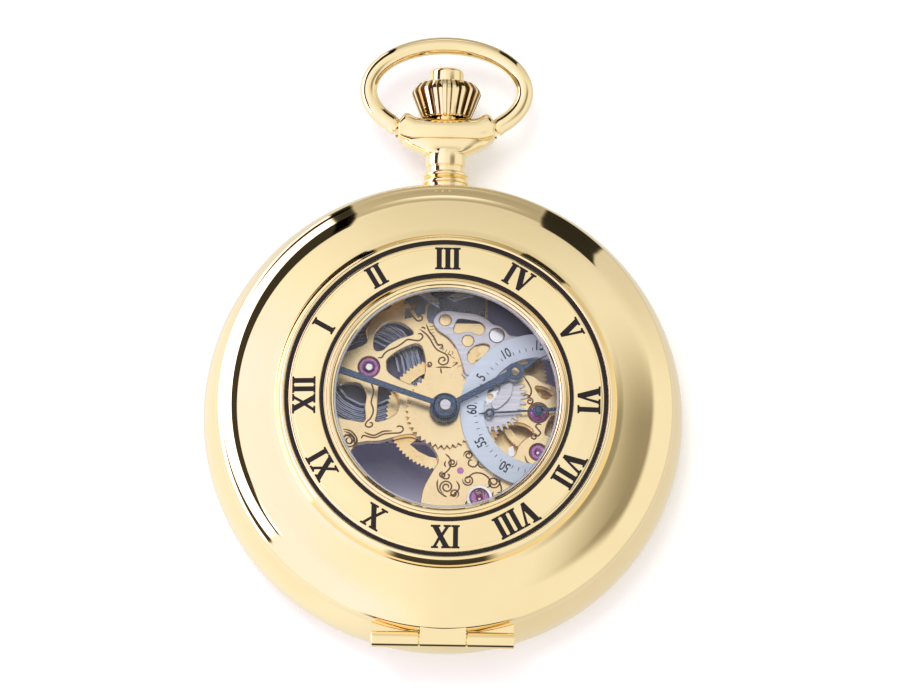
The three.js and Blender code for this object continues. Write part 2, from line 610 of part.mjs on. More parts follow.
function secondsRing() {
  const { inner, outer, bottom, top } = SECONDS_RING;
  const ring = washer(outer, inner, bottom, top, FOURTH.x, 0, 40);
  const feet = [0, 80, -80].map((angle) =>
    disc(0.4, PLATE.top, SECONDS_RING.bottom + 0.1, ...polar(6.9, angle, FOURTH.x, 0), 10));
  return joined(ring, ...feet);
}

// A tapering hand with an open ring near its tip, drawn along +X and turned to its hour.
function breguetHand(hand) {
  const { length, root, tip, ringAt, ringRadius, boss, bore, bottom, top, axis, angle, tail = 0 } = hand;
  const flat = (geometry) => geometry.rotateZ(radians(angle)).translate(axis.x, axis.y, 0);
  const taper = [[-tail, -root / 2], [length, -tip / 2], [length, tip / 2], [-tail, root / 2]];
  const blade = extruded(taper, [], bottom, top);
  const pomme = disc(ringRadius, bottom, top, ringAt, 0, 18);
  const hub = disc(boss, bottom - 0.03, top + 0.03, 0, 0, 20);
  const eye = disc(ringRadius * 0.55, bottom - 1, top + 1, ringAt - ringRadius * 0.15, 0, 14);
  const socket = disc(bore, bottom - 1, top + 1, 0, 0, 16);
  return flat(cut(joined(blade, pomme, hub), eye, socket));
}

const hourHand = () => breguetHand({
  length: 12.4, root: 0.8, tip: 0.24, ringAt: 8.3, ringRadius: 0.95, boss: 1.6, bore: 1.2, bottom: 9.2,
  top: 9.4, axis: CENTRE, angle: HAND_ANGLES.hour,
});
const minuteHand = () => breguetHand({
  length: 16.6, root: 0.75, tip: 0.2, ringAt: 13, ringRadius: 0.8, boss: 1.15, bore: 0.8, bottom: 10.05,
  top: 10.25, axis: CENTRE, angle: HAND_ANGLES.minute,
});
const secondsHand = () => breguetHand({
  length: 6.3, root: 0.22, tip: 0.12, ringAt: 5.1, ringRadius: 0.5, boss: 0.65, bore: 0.25, bottom: 8.72,
  top: 8.84, axis: FOURTH, angle: HAND_ANGLES.seconds, tail: 2.6,
});

const jewel = (axis, outer, inner) => washer(outer - FIT, inner, 6.6, PLATE.top - 0.05, axis.x, axis.y, 14);

function caseScrew(angle) {
  return disc(1.1, 7.65, 8.05, ...polar(18.1, angle), 16);
}

// ---- assembly ----
const pieces = {
  case_band: [caseBand(), GOLD],
  pendant: [pendant(), GOLD],
  bow: [bow(), GOLD],
  inner_bezel: [innerBezel(), GOLD],
  main_crystal: [mainCrystal(), CRYSTAL],
  back_bezel: [backBezel(), GOLD],
  back_crystal: [backCrystal(), CRYSTAL],
  movement_ring: [movementRing(), PLATE_GOLD],
  lock_spring: [springStrip(21.7, 35, 145), SPRING_STEEL],
  lift_spring: [springStrip(21.7, 215, 325), SPRING_STEEL],
  lid_catch: [lidCatch(), STEEL],
  hinge_pin: [hingeBore(0.34, HINGE.halfLength - 0.1), GOLD],
  case_screw_1: [caseScrew(52), STEEL],
  case_screw_2: [caseScrew(232), STEEL],
  front_lid: [lidShell(), GOLD],
  chapter_ring: [chapterRing(), GOLD],
  lid_bezel: [lidBezel(), GOLD],
  lid_crystal: [lidCrystal(), CRYSTAL],
  crown: [crown(), GOLD],
  winding_stem: [windingStem(), STEEL],
  release_button: [releaseButton(), GOLD],
  winding_pinion: [windingPinion(), STEEL],
  sliding_pinion: [slidingPinion(), STEEL],
  setting_lever: [settingLever(), STEEL],
  yoke: [yoke(), STEEL],
  setting_lever_spring: [settingLeverSpring(), STEEL],
  setting_wheel: [settingWheel(), STEEL],
  crown_wheel: [crownWheel(), STEEL],
  ratchet_wheel: [ratchetWheel(), STEEL],
  click: [click(), STEEL],
  click_spring: [clickSpring(), SPRING_STEEL],
  main_plate: [mainPlate(), PLATE_GOLD],
  train_bridge: [trainBridge(), PLATE_GOLD],
  balance_cock: [balanceCock(), PLATE_GOLD],
  pallet_bridge: [palletBridge(), PLATE_GOLD],
  barrel: [barrel(), WHEEL_BRASS],
  mainspring: [mainspring(), SPRING_STEEL],
  barrel_arbor: [barrelArbor(), STEEL],
  centre_wheel: [centreWheel(), WHEEL_BRASS],
  third_wheel: [thirdWheel(), WHEEL_BRASS],
  fourth_wheel: [fourthWheel(), WHEEL_BRASS],
  escape_wheel: [escapeWheel(), STEEL],
  pallet_fork: [palletFork(), STEEL],
  balance_wheel: [balanceWheel(), WHEEL_BRASS],
  hairspring: [hairspring(), SPRING_STEEL],
  cannon_pinion: [cannonPinion(), STEEL],
  hour_wheel: [hourWheel(), WHEEL_BRASS],
  minute_wheel: [minuteWheel(), WHEEL_BRASS],
  seconds_ring: [secondsRing(), DIAL_BLUE],
  hour_hand: [hourHand(), BLUED_STEEL],
  minute_hand: [minuteHand(), BLUED_STEEL],
  seconds_hand: [secondsHand(), BLUED_STEEL],
  barrel_jewel: [jewel(BARREL, 1.15, 0.5), RUBY],
  third_jewel: [jewel(thirdAxis, 0.65, 0.25), RUBY],
  seconds_jewel: [jewel(FOURTH, 0.95, 0.25), RUBY],
  escape_jewel: [jewel(escapeAxis, 0.85, 0.2), RUBY],
  balance_jewel: [jewel(BALANCE, 1.05, 0.2), RUBY],
};

const watch = new THREE.Group();
for (const [name, [geometry, finish]] of Object.entries(pieces)) {
  const mesh = new THREE.Mesh(geometry, finish);
  mesh.name = name;
  watch.add(mesh);
}

export default watch;
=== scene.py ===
import math

import bpy
import bmesh
from mathutils import Matrix, Vector


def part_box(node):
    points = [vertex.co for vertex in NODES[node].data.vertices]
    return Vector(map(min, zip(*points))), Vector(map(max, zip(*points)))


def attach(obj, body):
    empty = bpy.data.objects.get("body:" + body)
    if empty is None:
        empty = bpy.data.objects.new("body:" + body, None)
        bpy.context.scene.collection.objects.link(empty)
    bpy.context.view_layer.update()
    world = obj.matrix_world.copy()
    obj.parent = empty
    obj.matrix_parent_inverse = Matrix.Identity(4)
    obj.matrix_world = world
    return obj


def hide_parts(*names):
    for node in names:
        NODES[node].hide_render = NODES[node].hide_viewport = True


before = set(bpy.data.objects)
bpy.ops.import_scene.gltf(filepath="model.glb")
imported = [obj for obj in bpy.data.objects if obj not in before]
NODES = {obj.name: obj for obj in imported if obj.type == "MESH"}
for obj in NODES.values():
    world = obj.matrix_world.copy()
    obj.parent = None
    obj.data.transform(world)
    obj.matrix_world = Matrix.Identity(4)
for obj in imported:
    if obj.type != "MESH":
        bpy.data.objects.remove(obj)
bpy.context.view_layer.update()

MM = 0.001
STEM_Z = 5.2
HUB = (0.0, 0.0)


def levels(node):
    """Where a CAD node starts and ends in height, in millimetres."""
    low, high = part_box(node)
    return 1000 * low.z, 1000 * high.z


def middle(node):
    """The centre of a CAD node seen from above, in millimetres."""
    low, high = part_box(node)
    return 500 * (low.x + high.x), 500 * (low.y + high.y)


SECONDS = (middle("seconds_ring")[0], 0.0)
BARREL = middle("barrel_jewel")
PLATE_TOP = levels("main_plate")[1]


# ---------------------------------------------------------------- materials
def new_material(name):
    material = bpy.data.materials.new(name)
    material.use_nodes = True
    nodes = material.node_tree.nodes
    shader = nodes["Principled BSDF"]
    return material, nodes, material.node_tree.links, shader


def noise(nodes, scale, detail=4.0, coordinates=None, links=None, roughness=0.55):
    texture = nodes.new("ShaderNodeTexNoise")
    texture.inputs["Scale"].default_value = scale
    texture.inputs["Detail"].default_value = detail
    texture.inputs["Roughness"].default_value = roughness
    if coordinates is not None:
        links.new(coordinates, texture.inputs["Vector"])
    return texture.outputs["Fac"]


def ramp(nodes, links, value, low_value, high_value, start=0.35, end=0.65):
    spread = nodes.new("ShaderNodeMapRange")
    spread.inputs["From Min"].default_value = start
    spread.inputs["From Max"].default_value = end
    spread.inputs["To Min"].default_value = low_value
    spread.inputs["To Max"].default_value = high_value
    links.new(value, spread.inputs["Value"])
    return spread.outputs["Result"]


def mixed_colour(nodes, links, value, first, second):
    blend = nodes.new("ShaderNodeMix")
    blend.data_type = "RGBA"
    links.new(value, blend.inputs["Factor"])
    blend.inputs["A"].default_value = (*first, 1)
    blend.inputs["B"].default_value = (*second, 1)
    return blend.outputs["Result"]


def add_bump(nodes, links, shader, height, strength, distance):
    bump = nodes.new("ShaderNodeBump")
    bump.inputs["Strength"].default_value = strength
    bump.inputs["Distance"].default_value = distance * MM
    links.new(height, bump.inputs["Height"])
    links.new(bump.outputs["Normal"], shader.inputs["Normal"])


def object_coordinates(nodes):
    return nodes.new("ShaderNodeTexCoord").outputs["Object"]


def metal(name, colour, shade, roughness, spread=0.04, grain=1500.0, bump=0.02, cloud=90.0):
    """A worn-in metal: cloudy tint, smudged roughness and a fine polishing grain."""
    material, nodes, links, shader = new_material(name)
    where = object_coordinates(nodes)
    clouds = noise(nodes, cloud, 3.0, where, links)
    tint = mixed_colour(nodes, links, ramp(nodes, links, clouds, 0, 1), colour, shade)
    links.new(tint, shader.inputs["Base Color"])
    smudges = noise(nodes, cloud * 4, 5.0, where, links)
    links.new(ramp(nodes, links, smudges, roughness, roughness + spread), shader.inputs["Roughness"])
    shader.inputs["Metallic"].default_value = 1.0
    add_bump(nodes, links, shader, noise(nodes, grain, 2.0, where, links), bump, 0.01)
    return material


def brushed(name, colour, shade, roughness, across=(0.02, 1.0, 1.0), grain=5000.0, bump=0.15):
    """Straight-grained metal: noise drawn out along one direction."""
    material, nodes, links, shader = new_material(name)
    stretch = nodes.new("ShaderNodeMapping")
    stretch.inputs["Scale"].default_value = across
    links.new(object_coordinates(nodes), stretch.inputs["Vector"])
    lines = noise(nodes, grain, 3.0, stretch.outputs["Vector"], links)
    links.new(mixed_colour(nodes, links, ramp(nodes, links, lines, 0, 1), colour, shade),
              shader.inputs["Base Color"])
    links.new(ramp(nodes, links, lines, roughness, roughness + 0.12), shader.inputs["Roughness"])
    shader.inputs["Metallic"].default_value = 1.0
    add_bump(nodes, links, shader, lines, bump, 0.01)
    return material


def enamel(name, colour, shade, roughness):
    material, nodes, links, shader = new_material(name)
    mottling = noise(nodes, 700, 3.0, object_coordinates(nodes), links)
    links.new(mixed_colour(nodes, links, mottling, colour, shade), shader.inputs["Base Color"])
    links.new(ramp(nodes, links, mottling, roughness, roughness + 0.15), shader.inputs["Roughness"])
    shader.inputs["Specular IOR Level"].default_value = 0.3
    add_bump(nodes, links, shader, mottling, 0.1, 0.01)
    return material


def clear(name, tint, roughness, gloss):
    """Thin clear crystal: it lets tinted light straight through and adds a faint gloss."""
    material, nodes, links, shader = new_material(name)
    nodes.remove(shader)
    haze = noise(nodes, 150, 3.0, object_coordinates(nodes), links)
    through = nodes.new("ShaderNodeBsdfTransparent")
    through.inputs["Color"].default_value = (*tint, 1)
    mirror = nodes.new("ShaderNodeBsdfGlossy")
    links.new(ramp(nodes, links, haze, roughness, roughness + 0.03), mirror.inputs["Roughness"])
    blend = nodes.new("ShaderNodeMixShader")
    links.new(ramp(nodes, links, haze, gloss * 0.9, gloss * 1.1), blend.inputs["Fac"])
    links.new(through.outputs["BSDF"], blend.inputs[1])
    links.new(mirror.outputs["BSDF"], blend.inputs[2])
    links.new(blend.outputs["Shader"], nodes["Material Output"].inputs["Surface"])
    return material


def shade_towards_centre(material):
    """Darkens a crystal from its lower edge up to the middle, as the movement shades it."""
    nodes, links = material.node_tree.nodes, material.node_tree.links
    split = nodes.new("ShaderNodeSeparateXYZ")
    links.new(object_coordinates(nodes), split.inputs[0])
    along = ramp(nodes, links, split.outputs["Y"], 1.0, 0.0, -9.5 * MM, -4 * MM)
    tint = mixed_colour(nodes, links, along, (0.42, 0.40, 0.56), (0.92, 0.92, 0.98))
    links.new(tint, next(node for node in nodes if node.type == "BSDF_TRANSPARENT").inputs["Color"])


def gem(name, colour, shade):
    material, nodes, links, shader = new_material(name)
    depth = noise(nodes, 1400, 2.0, object_coordinates(nodes), links)
    links.new(mixed_colour(nodes, links, ramp(nodes, links, depth, 0, 1), colour, shade),
              shader.inputs["Base Color"])
    shader.inputs["Roughness"].default_value = 0.08
    shader.inputs["Coat Weight"].default_value = 1.0
    shader.inputs["Transmission Weight"].default_value = 0.25
    shader.inputs["IOR"].default_value = 1.76
    return material


CASE_GOLD = metal("case_gold", (0.98, 0.82, 0.50), (0.96, 0.79, 0.46), 0.04, 0.02, bump=0.003)
# Very dark gold for the crown's flute sides: painted shade in the grooves.
GROOVE_PAINTED_SHADE = metal("groove_painted_shade", (0.30, 0.18, 0.07), (0.22, 0.13, 0.05), 0.2, 0.05, bump=0.01)
PLATE_GOLD = metal("plate_gold", (1.0, 0.80, 0.48), (0.97, 0.74, 0.41), 0.20, 0.08, grain=900, bump=0.03,
                   cloud=120)
WHEEL_BRASS = metal("wheel_brass", (1.0, 0.79, 0.45), (0.94, 0.68, 0.34), 0.20, 0.08, grain=2500, bump=0.04,
                    cloud=400)
STEEL = brushed("steel", (0.72, 0.72, 0.79), (0.62, 0.62, 0.71), 0.24, bump=0.06)
BRIGHT_STEEL = metal("bright_steel", (0.92, 0.93, 0.97), (0.84, 0.86, 0.92), 0.14, 0.06)
SPRING_STEEL = metal("spring_steel", (0.34, 0.37, 0.50), (0.26, 0.29, 0.42), 0.22, 0.08)
# Dark violet steel for the barrel: painted shade on a part deep in the movement.
PAINTED_SHADE_STEEL = metal("painted_shade_steel", (0.13, 0.12, 0.19), (0.08, 0.08, 0.14), 0.30, 0.12, cloud=200)
# Dark violet for a thin sheet over the plate: painted shade.
PAINTED_SHADE_VIOLET = metal("painted_shade_violet", (0.17, 0.17, 0.33), (0.10, 0.10, 0.21), 0.28, 0.12, cloud=160)
# Dark violet bronze for the movement ring: painted shade under the bezel.
RING_PAINTED_SHADE = metal("ring_painted_shade", (0.36, 0.27, 0.30), (0.24, 0.19, 0.25), 0.30, 0.10)
BLUED_STEEL = metal("blued_steel", (0.085, 0.125, 0.215), (0.065, 0.10, 0.18), 0.24, 0.08, cloud=300)
DIAL_BLUE = brushed("dial_blue", (0.66, 0.75, 0.85), (0.62, 0.71, 0.82), 0.42, bump=0.02)
DIAL_BLUE.node_tree.nodes["Principled BSDF"].inputs["Metallic"].default_value = 0.15
BLACK_ENAMEL = enamel("black_enamel", (0.008, 0.005, 0.005), (0.014, 0.009, 0.008), 0.3)
ENGRAVED = enamel("engraved_line", (0.13, 0.055, 0.015), (0.20, 0.09, 0.03), 0.5)
PRINT = enamel("dial_print", (0.012, 0.016, 0.03), (0.02, 0.025, 0.04), 0.5)
RUBY = gem("ruby", (0.62, 0.16, 0.55), (0.46, 0.08, 0.52))
GLASS_EDGE = clear("glass_edge", (0.75, 0.77, 0.86), 0.1, 0.45)
CRYSTAL = clear("crystal", (0.995, 0.997, 1.0), 0.0, 0.015)
BACK_CRYSTAL = clear("back_crystal", (0.86, 0.86, 0.95), 0.0, 0.03)
shade_towards_centre(BACK_CRYSTAL)


# ---------------------------------------------------------------- mesh tools
def finish_piece(obj, finish, body, replaced=(), sharp=35):
    obj.data.materials.clear()
    obj.data.materials.append(finish)
    obj.data.shade_smooth()
    obj.data.set_sharp_from_angle(angle=math.radians(sharp))
    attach(obj, body)
    if replaced:
        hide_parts(*replaced)
    return obj


def mesh_object(name, points, faces):
    mesh = bpy.data.meshes.new(name)
    mesh.from_pydata([(x * MM, y * MM, z * MM) for x, y, z in points], [], faces)
    obj = bpy.data.objects.new(name, mesh)
    bpy.context.scene.collection.objects.link(obj)
    fix = bmesh.new()
    fix.from_mesh(mesh)
    bmesh.ops.remove_doubles(fix, verts=fix.verts, dist=1e-7)
    bmesh.ops.recalc_face_normals(fix, faces=fix.faces)
    fix.to_mesh(mesh)
    fix.free()
    return obj


def polar(radius, angle, centre=(0.0, 0.0)):
    turn = math.radians(angle)
    return centre[0] + radius * math.cos(turn), centre[1] + radius * math.sin(turn)


def arc(radius, start, end, steps, centre=(0.0, 0.0)):
    return [polar(radius, start + (end - start) * i / steps, centre) for i in range(steps + 1)]


def circle(radius, centre=(0.0, 0.0), sides=48):
    return arc(radius, 0, 360, sides, centre)[:-1]


def rounded(profile, radius, steps=3, closed=True):
    """Rounds each corner of an outline with a short curve."""
    count = len(profile)
    result = []
    for i, corner in enumerate(profile):
        if not closed and i in (0, count - 1):
            result.append(corner)
            continue
        here = Vector(corner)
        back = Vector(profile[i - 1]) - here
        ahead = Vector(profile[(i + 1) % count]) - here
        reach = min(radius, back.length * 0.45, ahead.length * 0.45)
        first = here + back.normalized() * reach
        last = here + ahead.normalized() * reach
        for k in range(steps + 1):
            t = k / steps
            result.append(tuple(first * (1 - t) ** 2 + here * 2 * t * (1 - t) + last * t ** 2))
    return result


def turned(profile, segments, centre=(0, 0)):
    """A profile of (radius, height) turned about an upright line; its ends may lie on that line."""
    points, faces, rings = [], [], []
    for radius, height in profile:
        if radius < 1e-6:
            rings.append([len(points)])
            points.append((centre[0], centre[1], height))
            continue
        rings.append(list(range(len(points), len(points) + segments)))
        points += [(*polar(radius, 360 * k / segments, centre), height) for k in range(segments)]
    on_axis = len(rings[0]) == 1 or len(rings[-1]) == 1
    pairs = list(zip(rings, rings[1:])) + ([] if on_axis else [(rings[-1], rings[0])])
    for below, above in pairs:
        for k in range(segments):
            after = (k + 1) % segments
            face = [below[k % len(below)], below[after % len(below)], above[after % len(above)],
                    above[k % len(above)]]
            face = list(dict.fromkeys(face))
            if len(face) > 2:
                faces.append(face)
    return points, faces


def lathe(name, profile, finish, body, replaced=(), slot=None, segments=160, centre=(0, 0), sharp=35,
          along_y=False):
    """A turned piece, upright or along the stem line."""
    points, faces = turned(profile, segments, centre)
    if along_y:
        points = [(x, z, STEM_Z - y) for x, y, z in points]
    return finish_piece(mesh_object(name, points, faces), finish, body, replaced, sharp)


def disc(name, radius, bottom, top, edge, finish, body, **options):
    """A short round peg with softened edges."""
    profile = [(0, bottom), (radius, bottom), (radius, top), (0, top)]
    return lathe(name, rounded(profile, edge, closed=False), finish, body, **options)


def pin(name, radius, bottom, shoulder, crown_radius, crown, tip, edge, finish, body, **options):
    """A round pin whose top is chamfered from the shoulder in to the crown."""
    profile = [(0, bottom), (radius, bottom), (radius, shoulder), (crown_radius, crown), (0, tip)]
    return lathe(name, rounded(profile, edge, closed=False), finish, body, **options)


def loft(sections):
    """Joins equal loops of points into one closed skin."""
    count = len(sections[0])
    points = [spot for section in sections for spot in section]
    faces = []
    for i in range(len(sections) - 1):
        for k in range(count):
            after = (k + 1) % count
            faces.append((i * count + k, i * count + after, (i + 1) * count + after, (i + 1) * count + k))
    faces.append(tuple(range(count))[::-1])
    faces.append(tuple(range((len(sections) - 1) * count, len(sections) * count)))
    return points, faces


def evaluated(obj):
    bpy.context.view_layer.update()
    return obj.evaluated_get(bpy.context.evaluated_depsgraph_get())


def curve_solid(curve):
    """The points and faces of the solid that a curve or a text makes."""
    holder = bpy.data.objects.new(curve.name, curve)
    bpy.context.scene.collection.objects.link(holder)
    mesh = bpy.data.meshes.new_from_object(evaluated(holder))
    points = [tuple(v.co) for v in mesh.vertices]
    faces = [tuple(p.vertices) for p in mesh.polygons]
    bpy.data.objects.remove(holder)
    return points, faces


def flat_mesh(name, outline, holes, bottom, top, bevel):
    """A flat part of any outline with holes, its edges bevelled on both faces."""
    curve = bpy.data.curves.new(name, "CURVE")
    curve.dimensions = "2D"
    curve.fill_mode = "BOTH"
    for loop in [outline, *holes]:
        spline = curve.splines.new("POLY")
        spline.points.add(len(loop) - 1)
        for point, (x, y) in zip(spline.points, loop):
            point.co = (x, y, 0, 1)
        spline.use_cyclic_u = True
    curve.extrude = (top - bottom) / 2 - bevel
    curve.bevel_depth = bevel
    curve.bevel_resolution = 0
    curve.offset = -bevel
    points, faces = curve_solid(curve)
    return [(x, y, z + (top + bottom) / 2) for x, y, z in points], faces


def flat(name, outline, holes, bottom, top, finish, body, replaced=(), bevel=0.03, sharp=30):
    points, faces = flat_mesh(name, outline, holes, bottom, top, bevel)
    return finish_piece(mesh_object(name, points, faces), finish, body, replaced, sharp)


def merged(name, parts):
    """One mesh from several (points, faces) lists."""
    points, faces = [], []
    for more_points, more_faces in parts:
        shift = len(points)
        points += more_points
        faces += [tuple(i + shift for i in face) for face in more_faces]
    return mesh_object(name, points, faces)


def boolean_cut(obj, tool):
    modifier = obj.modifiers.new("cut", "BOOLEAN")
    modifier.operation = "DIFFERENCE"
    modifier.object = tool
    modifier.solver = "EXACT"
    mesh = bpy.data.meshes.new_from_object(evaluated(obj))
    obj.modifiers.clear()
    obj.data = mesh
    bpy.data.objects.remove(tool)


# ---------------------------------------------------------------- case
pin_low, pin_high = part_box("hinge_pin")
HINGE = Vector((0, (pin_low.y + pin_high.y) / 2, (pin_low.z + pin_high.z) / 2)) / MM
HINGE_HALF = 1000 * pin_high.x + 0.1
HINGE_RADIUS = 0.85
KNUCKLE = 2.5
SEAM_Z = 8.55
EQUATOR_Z = 3.6
BAND_BASE_Z = 2.2
BAND_RADIUS = 25
BAND_STEPS = 14


def circle_along_x(x, radius, centre, segments=48):
    turns = [2 * math.pi * k / segments for k in range(segments)]
    return [(x, centre.y + radius * math.cos(turn), centre.z + radius * math.sin(turn)) for turn in turns]


def rod_along_x(name, profile, centre):
    """A solid turned about a line parallel to X through the centre; the profile holds (x, radius)."""
    return mesh_object(name, *loft([circle_along_x(x, radius, centre) for x, radius in profile]))


def prism_along_x(name, outline, start, end):
    return mesh_object(name, *loft([[(x, y, z) for y, z in outline] for x in (start, end)]))


def knuckle(name, start, end, body):
    edge = 0.08
    profile = [(start, HINGE_RADIUS - edge), (start + edge, HINGE_RADIUS), (end - edge, HINGE_RADIUS),
               (end, HINGE_RADIUS - edge)]
    return finish_piece(rod_along_x(name, profile, HINGE), CASE_GOLD, body)


def hinge_clearance(start, end):
    """The room that a knuckle needs in the shell beside it."""
    radius = HINGE_RADIUS + 0.1
    return rod_along_x("hinge_clearance", [(start, radius), (end, radius)], HINGE)


def at_hinge(outline):
    return [(HINGE.y + y, HINGE.z + z) for y, z in outline]


def case_pieces():
    """The band, hinge, bezels, crystals and movement ring."""
    outer = []
    for k in range(BAND_STEPS + 1):
        z = BAND_BASE_Z + (SEAM_Z - BAND_BASE_Z) * k / BAND_STEPS
        bulge = 0.5 * ((EQUATOR_Z - z) / 1.4) ** 2 if z < EQUATOR_Z else 1.1 * ((z - EQUATOR_Z) / 4.95) ** 2
        outer.append((BAND_RADIUS - bulge, z))
    band = lathe("band_shell", [(22.5, BAND_BASE_Z), *outer, (23.8, SEAM_Z + 0.02), (22.5, SEAM_Z)],
                 CASE_GOLD, "case", ["case_band"], "case_gold", segments=220)
    boolean_cut(band, hinge_clearance(-KNUCKLE - 0.1, KNUCKLE + 0.1))
    finish_piece(band, CASE_GOLD, "case")
    knuckle("band_knuckle_left", -HINGE_HALF, -KNUCKLE, "case")
    knuckle("band_knuckle_right", KNUCKLE, HINGE_HALF, "case")
    web = at_hinge([(1.95, -0.12), (0.86, -0.12), (0.5, 0.5), (0, 0.78), (-0.45, -0.6), (-0.1, -1.5),
                    (1.95, -1.9)])
    for side in (-1, 1):
        ends = sorted((side * (KNUCKLE + 0.05), side * (HINGE_HALF - 0.05)))
        name = "hinge_web_left" if side < 0 else "hinge_web_right"
        finish_piece(prism_along_x(name, web, *ends), CASE_GOLD, "case")
    profile = [(18.9, 8.65), (23.1, 8.65), (22.95, 9.05), (21.2, 10.45), (20.3, 11.1), (19.6, 11.1),
               (19.6, 10.75), (18.9, 10.75)]
    lathe("inner_bezel_ring", rounded(profile, 0.15), CASE_GOLD, "case", ["inner_bezel"], "case_gold")
    profile = [(0, 10.8), (19.5, 10.8), (19.5, 11.2), (18.5, 11.4), (0, 11.45)]
    lathe("main_glass", rounded(profile, 0.12, closed=False), CRYSTAL, "case", ["main_crystal"], "crystal")
    profile = [(16.9, 0.9), (17, 0.3), (17.8, 0), (20.5, 0), (22.3, 0.5), (23.5, 1.4), (23.85, 2.1),
               (18.2, 2.1), (18.2, 1.75), (16.9, 1.75)]
    lathe("back_ring", rounded(profile, 0.5, 5), CASE_GOLD, "case", ["back_bezel"], "case_gold")
    profile = [(0, 0), (16.2, 0), (16.8, 0.5), (16.8, 1.6), (0, 1.6)]
    lathe("back_glass", rounded(profile, 0.15, closed=False), BACK_CRYSTAL, "case", ["back_crystal"],
          "crystal")
    # The movement ring in the dark violet bronze: painted shade.
    lathe("holder_ring", rounded([(18.3, 3.1), (22.4, 3.1), (22.4, 7.6), (18.3, 7.6)], 0.15),
          RING_PAINTED_SHADE, "case", ["movement_ring"], "plate_gold")


# ---------------------------------------------------------------- lid
PLATEAU_Z = 14.2
OUTER_BAND = (16.43, 16.85)
INNER_BAND = (12.78, 13.2)
BEZEL_INNER = 11.78
BEZEL_OUTER = 12.72
ENAMEL_SINK = 0.10


def cone_height(radius):
    """The chapter ring falls gently outwards from the window."""
    return PLATEAU_Z - 0.12 * max(0.0, radius - INNER_BAND[1])


def lid_pieces():
    """The windowed lid: dome, chamfer and flank, then the chapter ring, enamel bands, bezel and crystal."""
    dome = [(17.7 + 4.2 * t, 12.35 - 0.73 * t - 0.27 * t * t) for t in (0.0, 0.2, 0.4, 0.6, 0.75, 0.88)]
    chamfer = [(21.9 + 1.4 * t, 11.35 - 1.02 * t - 0.2 * t * t) for t in (0.2, 0.35, 0.5, 0.75, 1.0)]
    turns = (0.45, 0.7, 0.95, 1.2, 1.4, 1.57)
    flank = [(23.3 + 0.65 * math.sin(turn), 8.65 + 1.48 * math.cos(turn)) for turn in turns]
    inside = [(23.4, 8.65), (23.15, 9.35), (22.4, 10.1), (21.2, 10.95), (20.4, 11.35), (18.0, 11.95),
              (17.2, 12.3), (12.4, 12.7), (12.4, 13.4), (17.2, 13.4), (17.5, 12.5)]
    shell = lathe("lid_shell", [*dome, *chamfer, *flank, *inside], CASE_GOLD, "lid", ["front_lid"],
                  "case_gold", segments=240, sharp=50)
    for start, end in ((-HINGE_HALF - 0.1, -KNUCKLE + 0.05), (KNUCKLE - 0.05, HINGE_HALF + 0.1)):
        boolean_cut(shell, hinge_clearance(start, end))
    finish_piece(shell, CASE_GOLD, "lid", sharp=50)
    knuckle("lid_knuckle", -KNUCKLE + 0.05, KNUCKLE - 0.05, "lid")
    half = KNUCKLE - 0.1
    tab = at_hinge([(-0.1, 0.8), (0.2, 0.1), (1.1, 0.1), (1.1, 1.3)])
    finish_piece(prism_along_x("lid_hinge_tab", tab, -half, half), CASE_GOLD, "lid")

    edge = 0.05
    profile = [(17.4, 12.3), (17.84, 12.3), (17.78, 12.42), (17.72, 12.6), (17.68, 12.85), (17.62, 13.05),
               (17.24, 13.58), (17.15, 13.68), (17.04, 13.73), (16.95, 13.72), (OUTER_BAND[1] + 0.02, 13.66),
               (OUTER_BAND[1], 13.6), (OUTER_BAND[0], 13.65), (OUTER_BAND[0] - 0.03, 13.7), (16.32, 13.79),
               (16.18, 13.85), (16.0, cone_height(16.0) - 0.01), (15.97, cone_height(15.97) - 0.04)]
    profile += [(radius, cone_height(radius)) for radius in (15.92, 14.6, 13.45)]
    profile += [(INNER_BAND[1] + edge, PLATEAU_Z - 0.03), (INNER_BAND[1], PLATEAU_Z - ENAMEL_SINK),
                (INNER_BAND[0], PLATEAU_Z - ENAMEL_SINK), (INNER_BAND[0], 12.95)]
    lathe("chapter_disc", profile, CASE_GOLD, "lid", ["chapter_ring"], "case_gold", segments=240, sharp=35)
    bands = (("outer_enamel_band", OUTER_BAND, 13.68), ("inner_enamel_band", INNER_BAND, PLATEAU_Z - 0.05))
    for name, (inner, outer), top in bands:
        profile = [(inner + 0.01, top - 0.2), (outer - 0.01, top - 0.2), (outer - 0.01, top - 0.01),
                   ((inner + outer) / 2, top + 0.015), (inner + 0.01, top)]
        lathe(name, profile, BLACK_ENAMEL, "lid", segments=240, sharp=60)
    bezel = [(BEZEL_INNER, 12.8), (BEZEL_OUTER, 12.8), (BEZEL_OUTER, 14.0)]
    middle_radius = (BEZEL_INNER + BEZEL_OUTER) / 2
    bezel += [(middle_radius + 0.26 * math.cos(math.radians(a)), 14.0 + 0.3 * math.sin(math.radians(a)))
              for a in range(15, 180, 15)]
    bezel.append((BEZEL_INNER, 13.95))
    lathe("lid_window_bezel", bezel, CASE_GOLD, "lid", ["lid_bezel"], "case_gold", segments=200, sharp=40)
    lathe("lid_glass", [(0, 13.0), (11.7, 13.0), (11.7, 13.5), (11.45, 13.72), (0, 13.76)], CRYSTAL, "lid",
          ["lid_crystal"], "crystal", segments=160)
    profile = rounded([(11.42, 13.5), (11.74, 13.5), (11.74, 13.85), (11.5, 13.85)], 0.06)
    lathe("glass_edge", profile, GLASS_EDGE, "lid", segments=160)


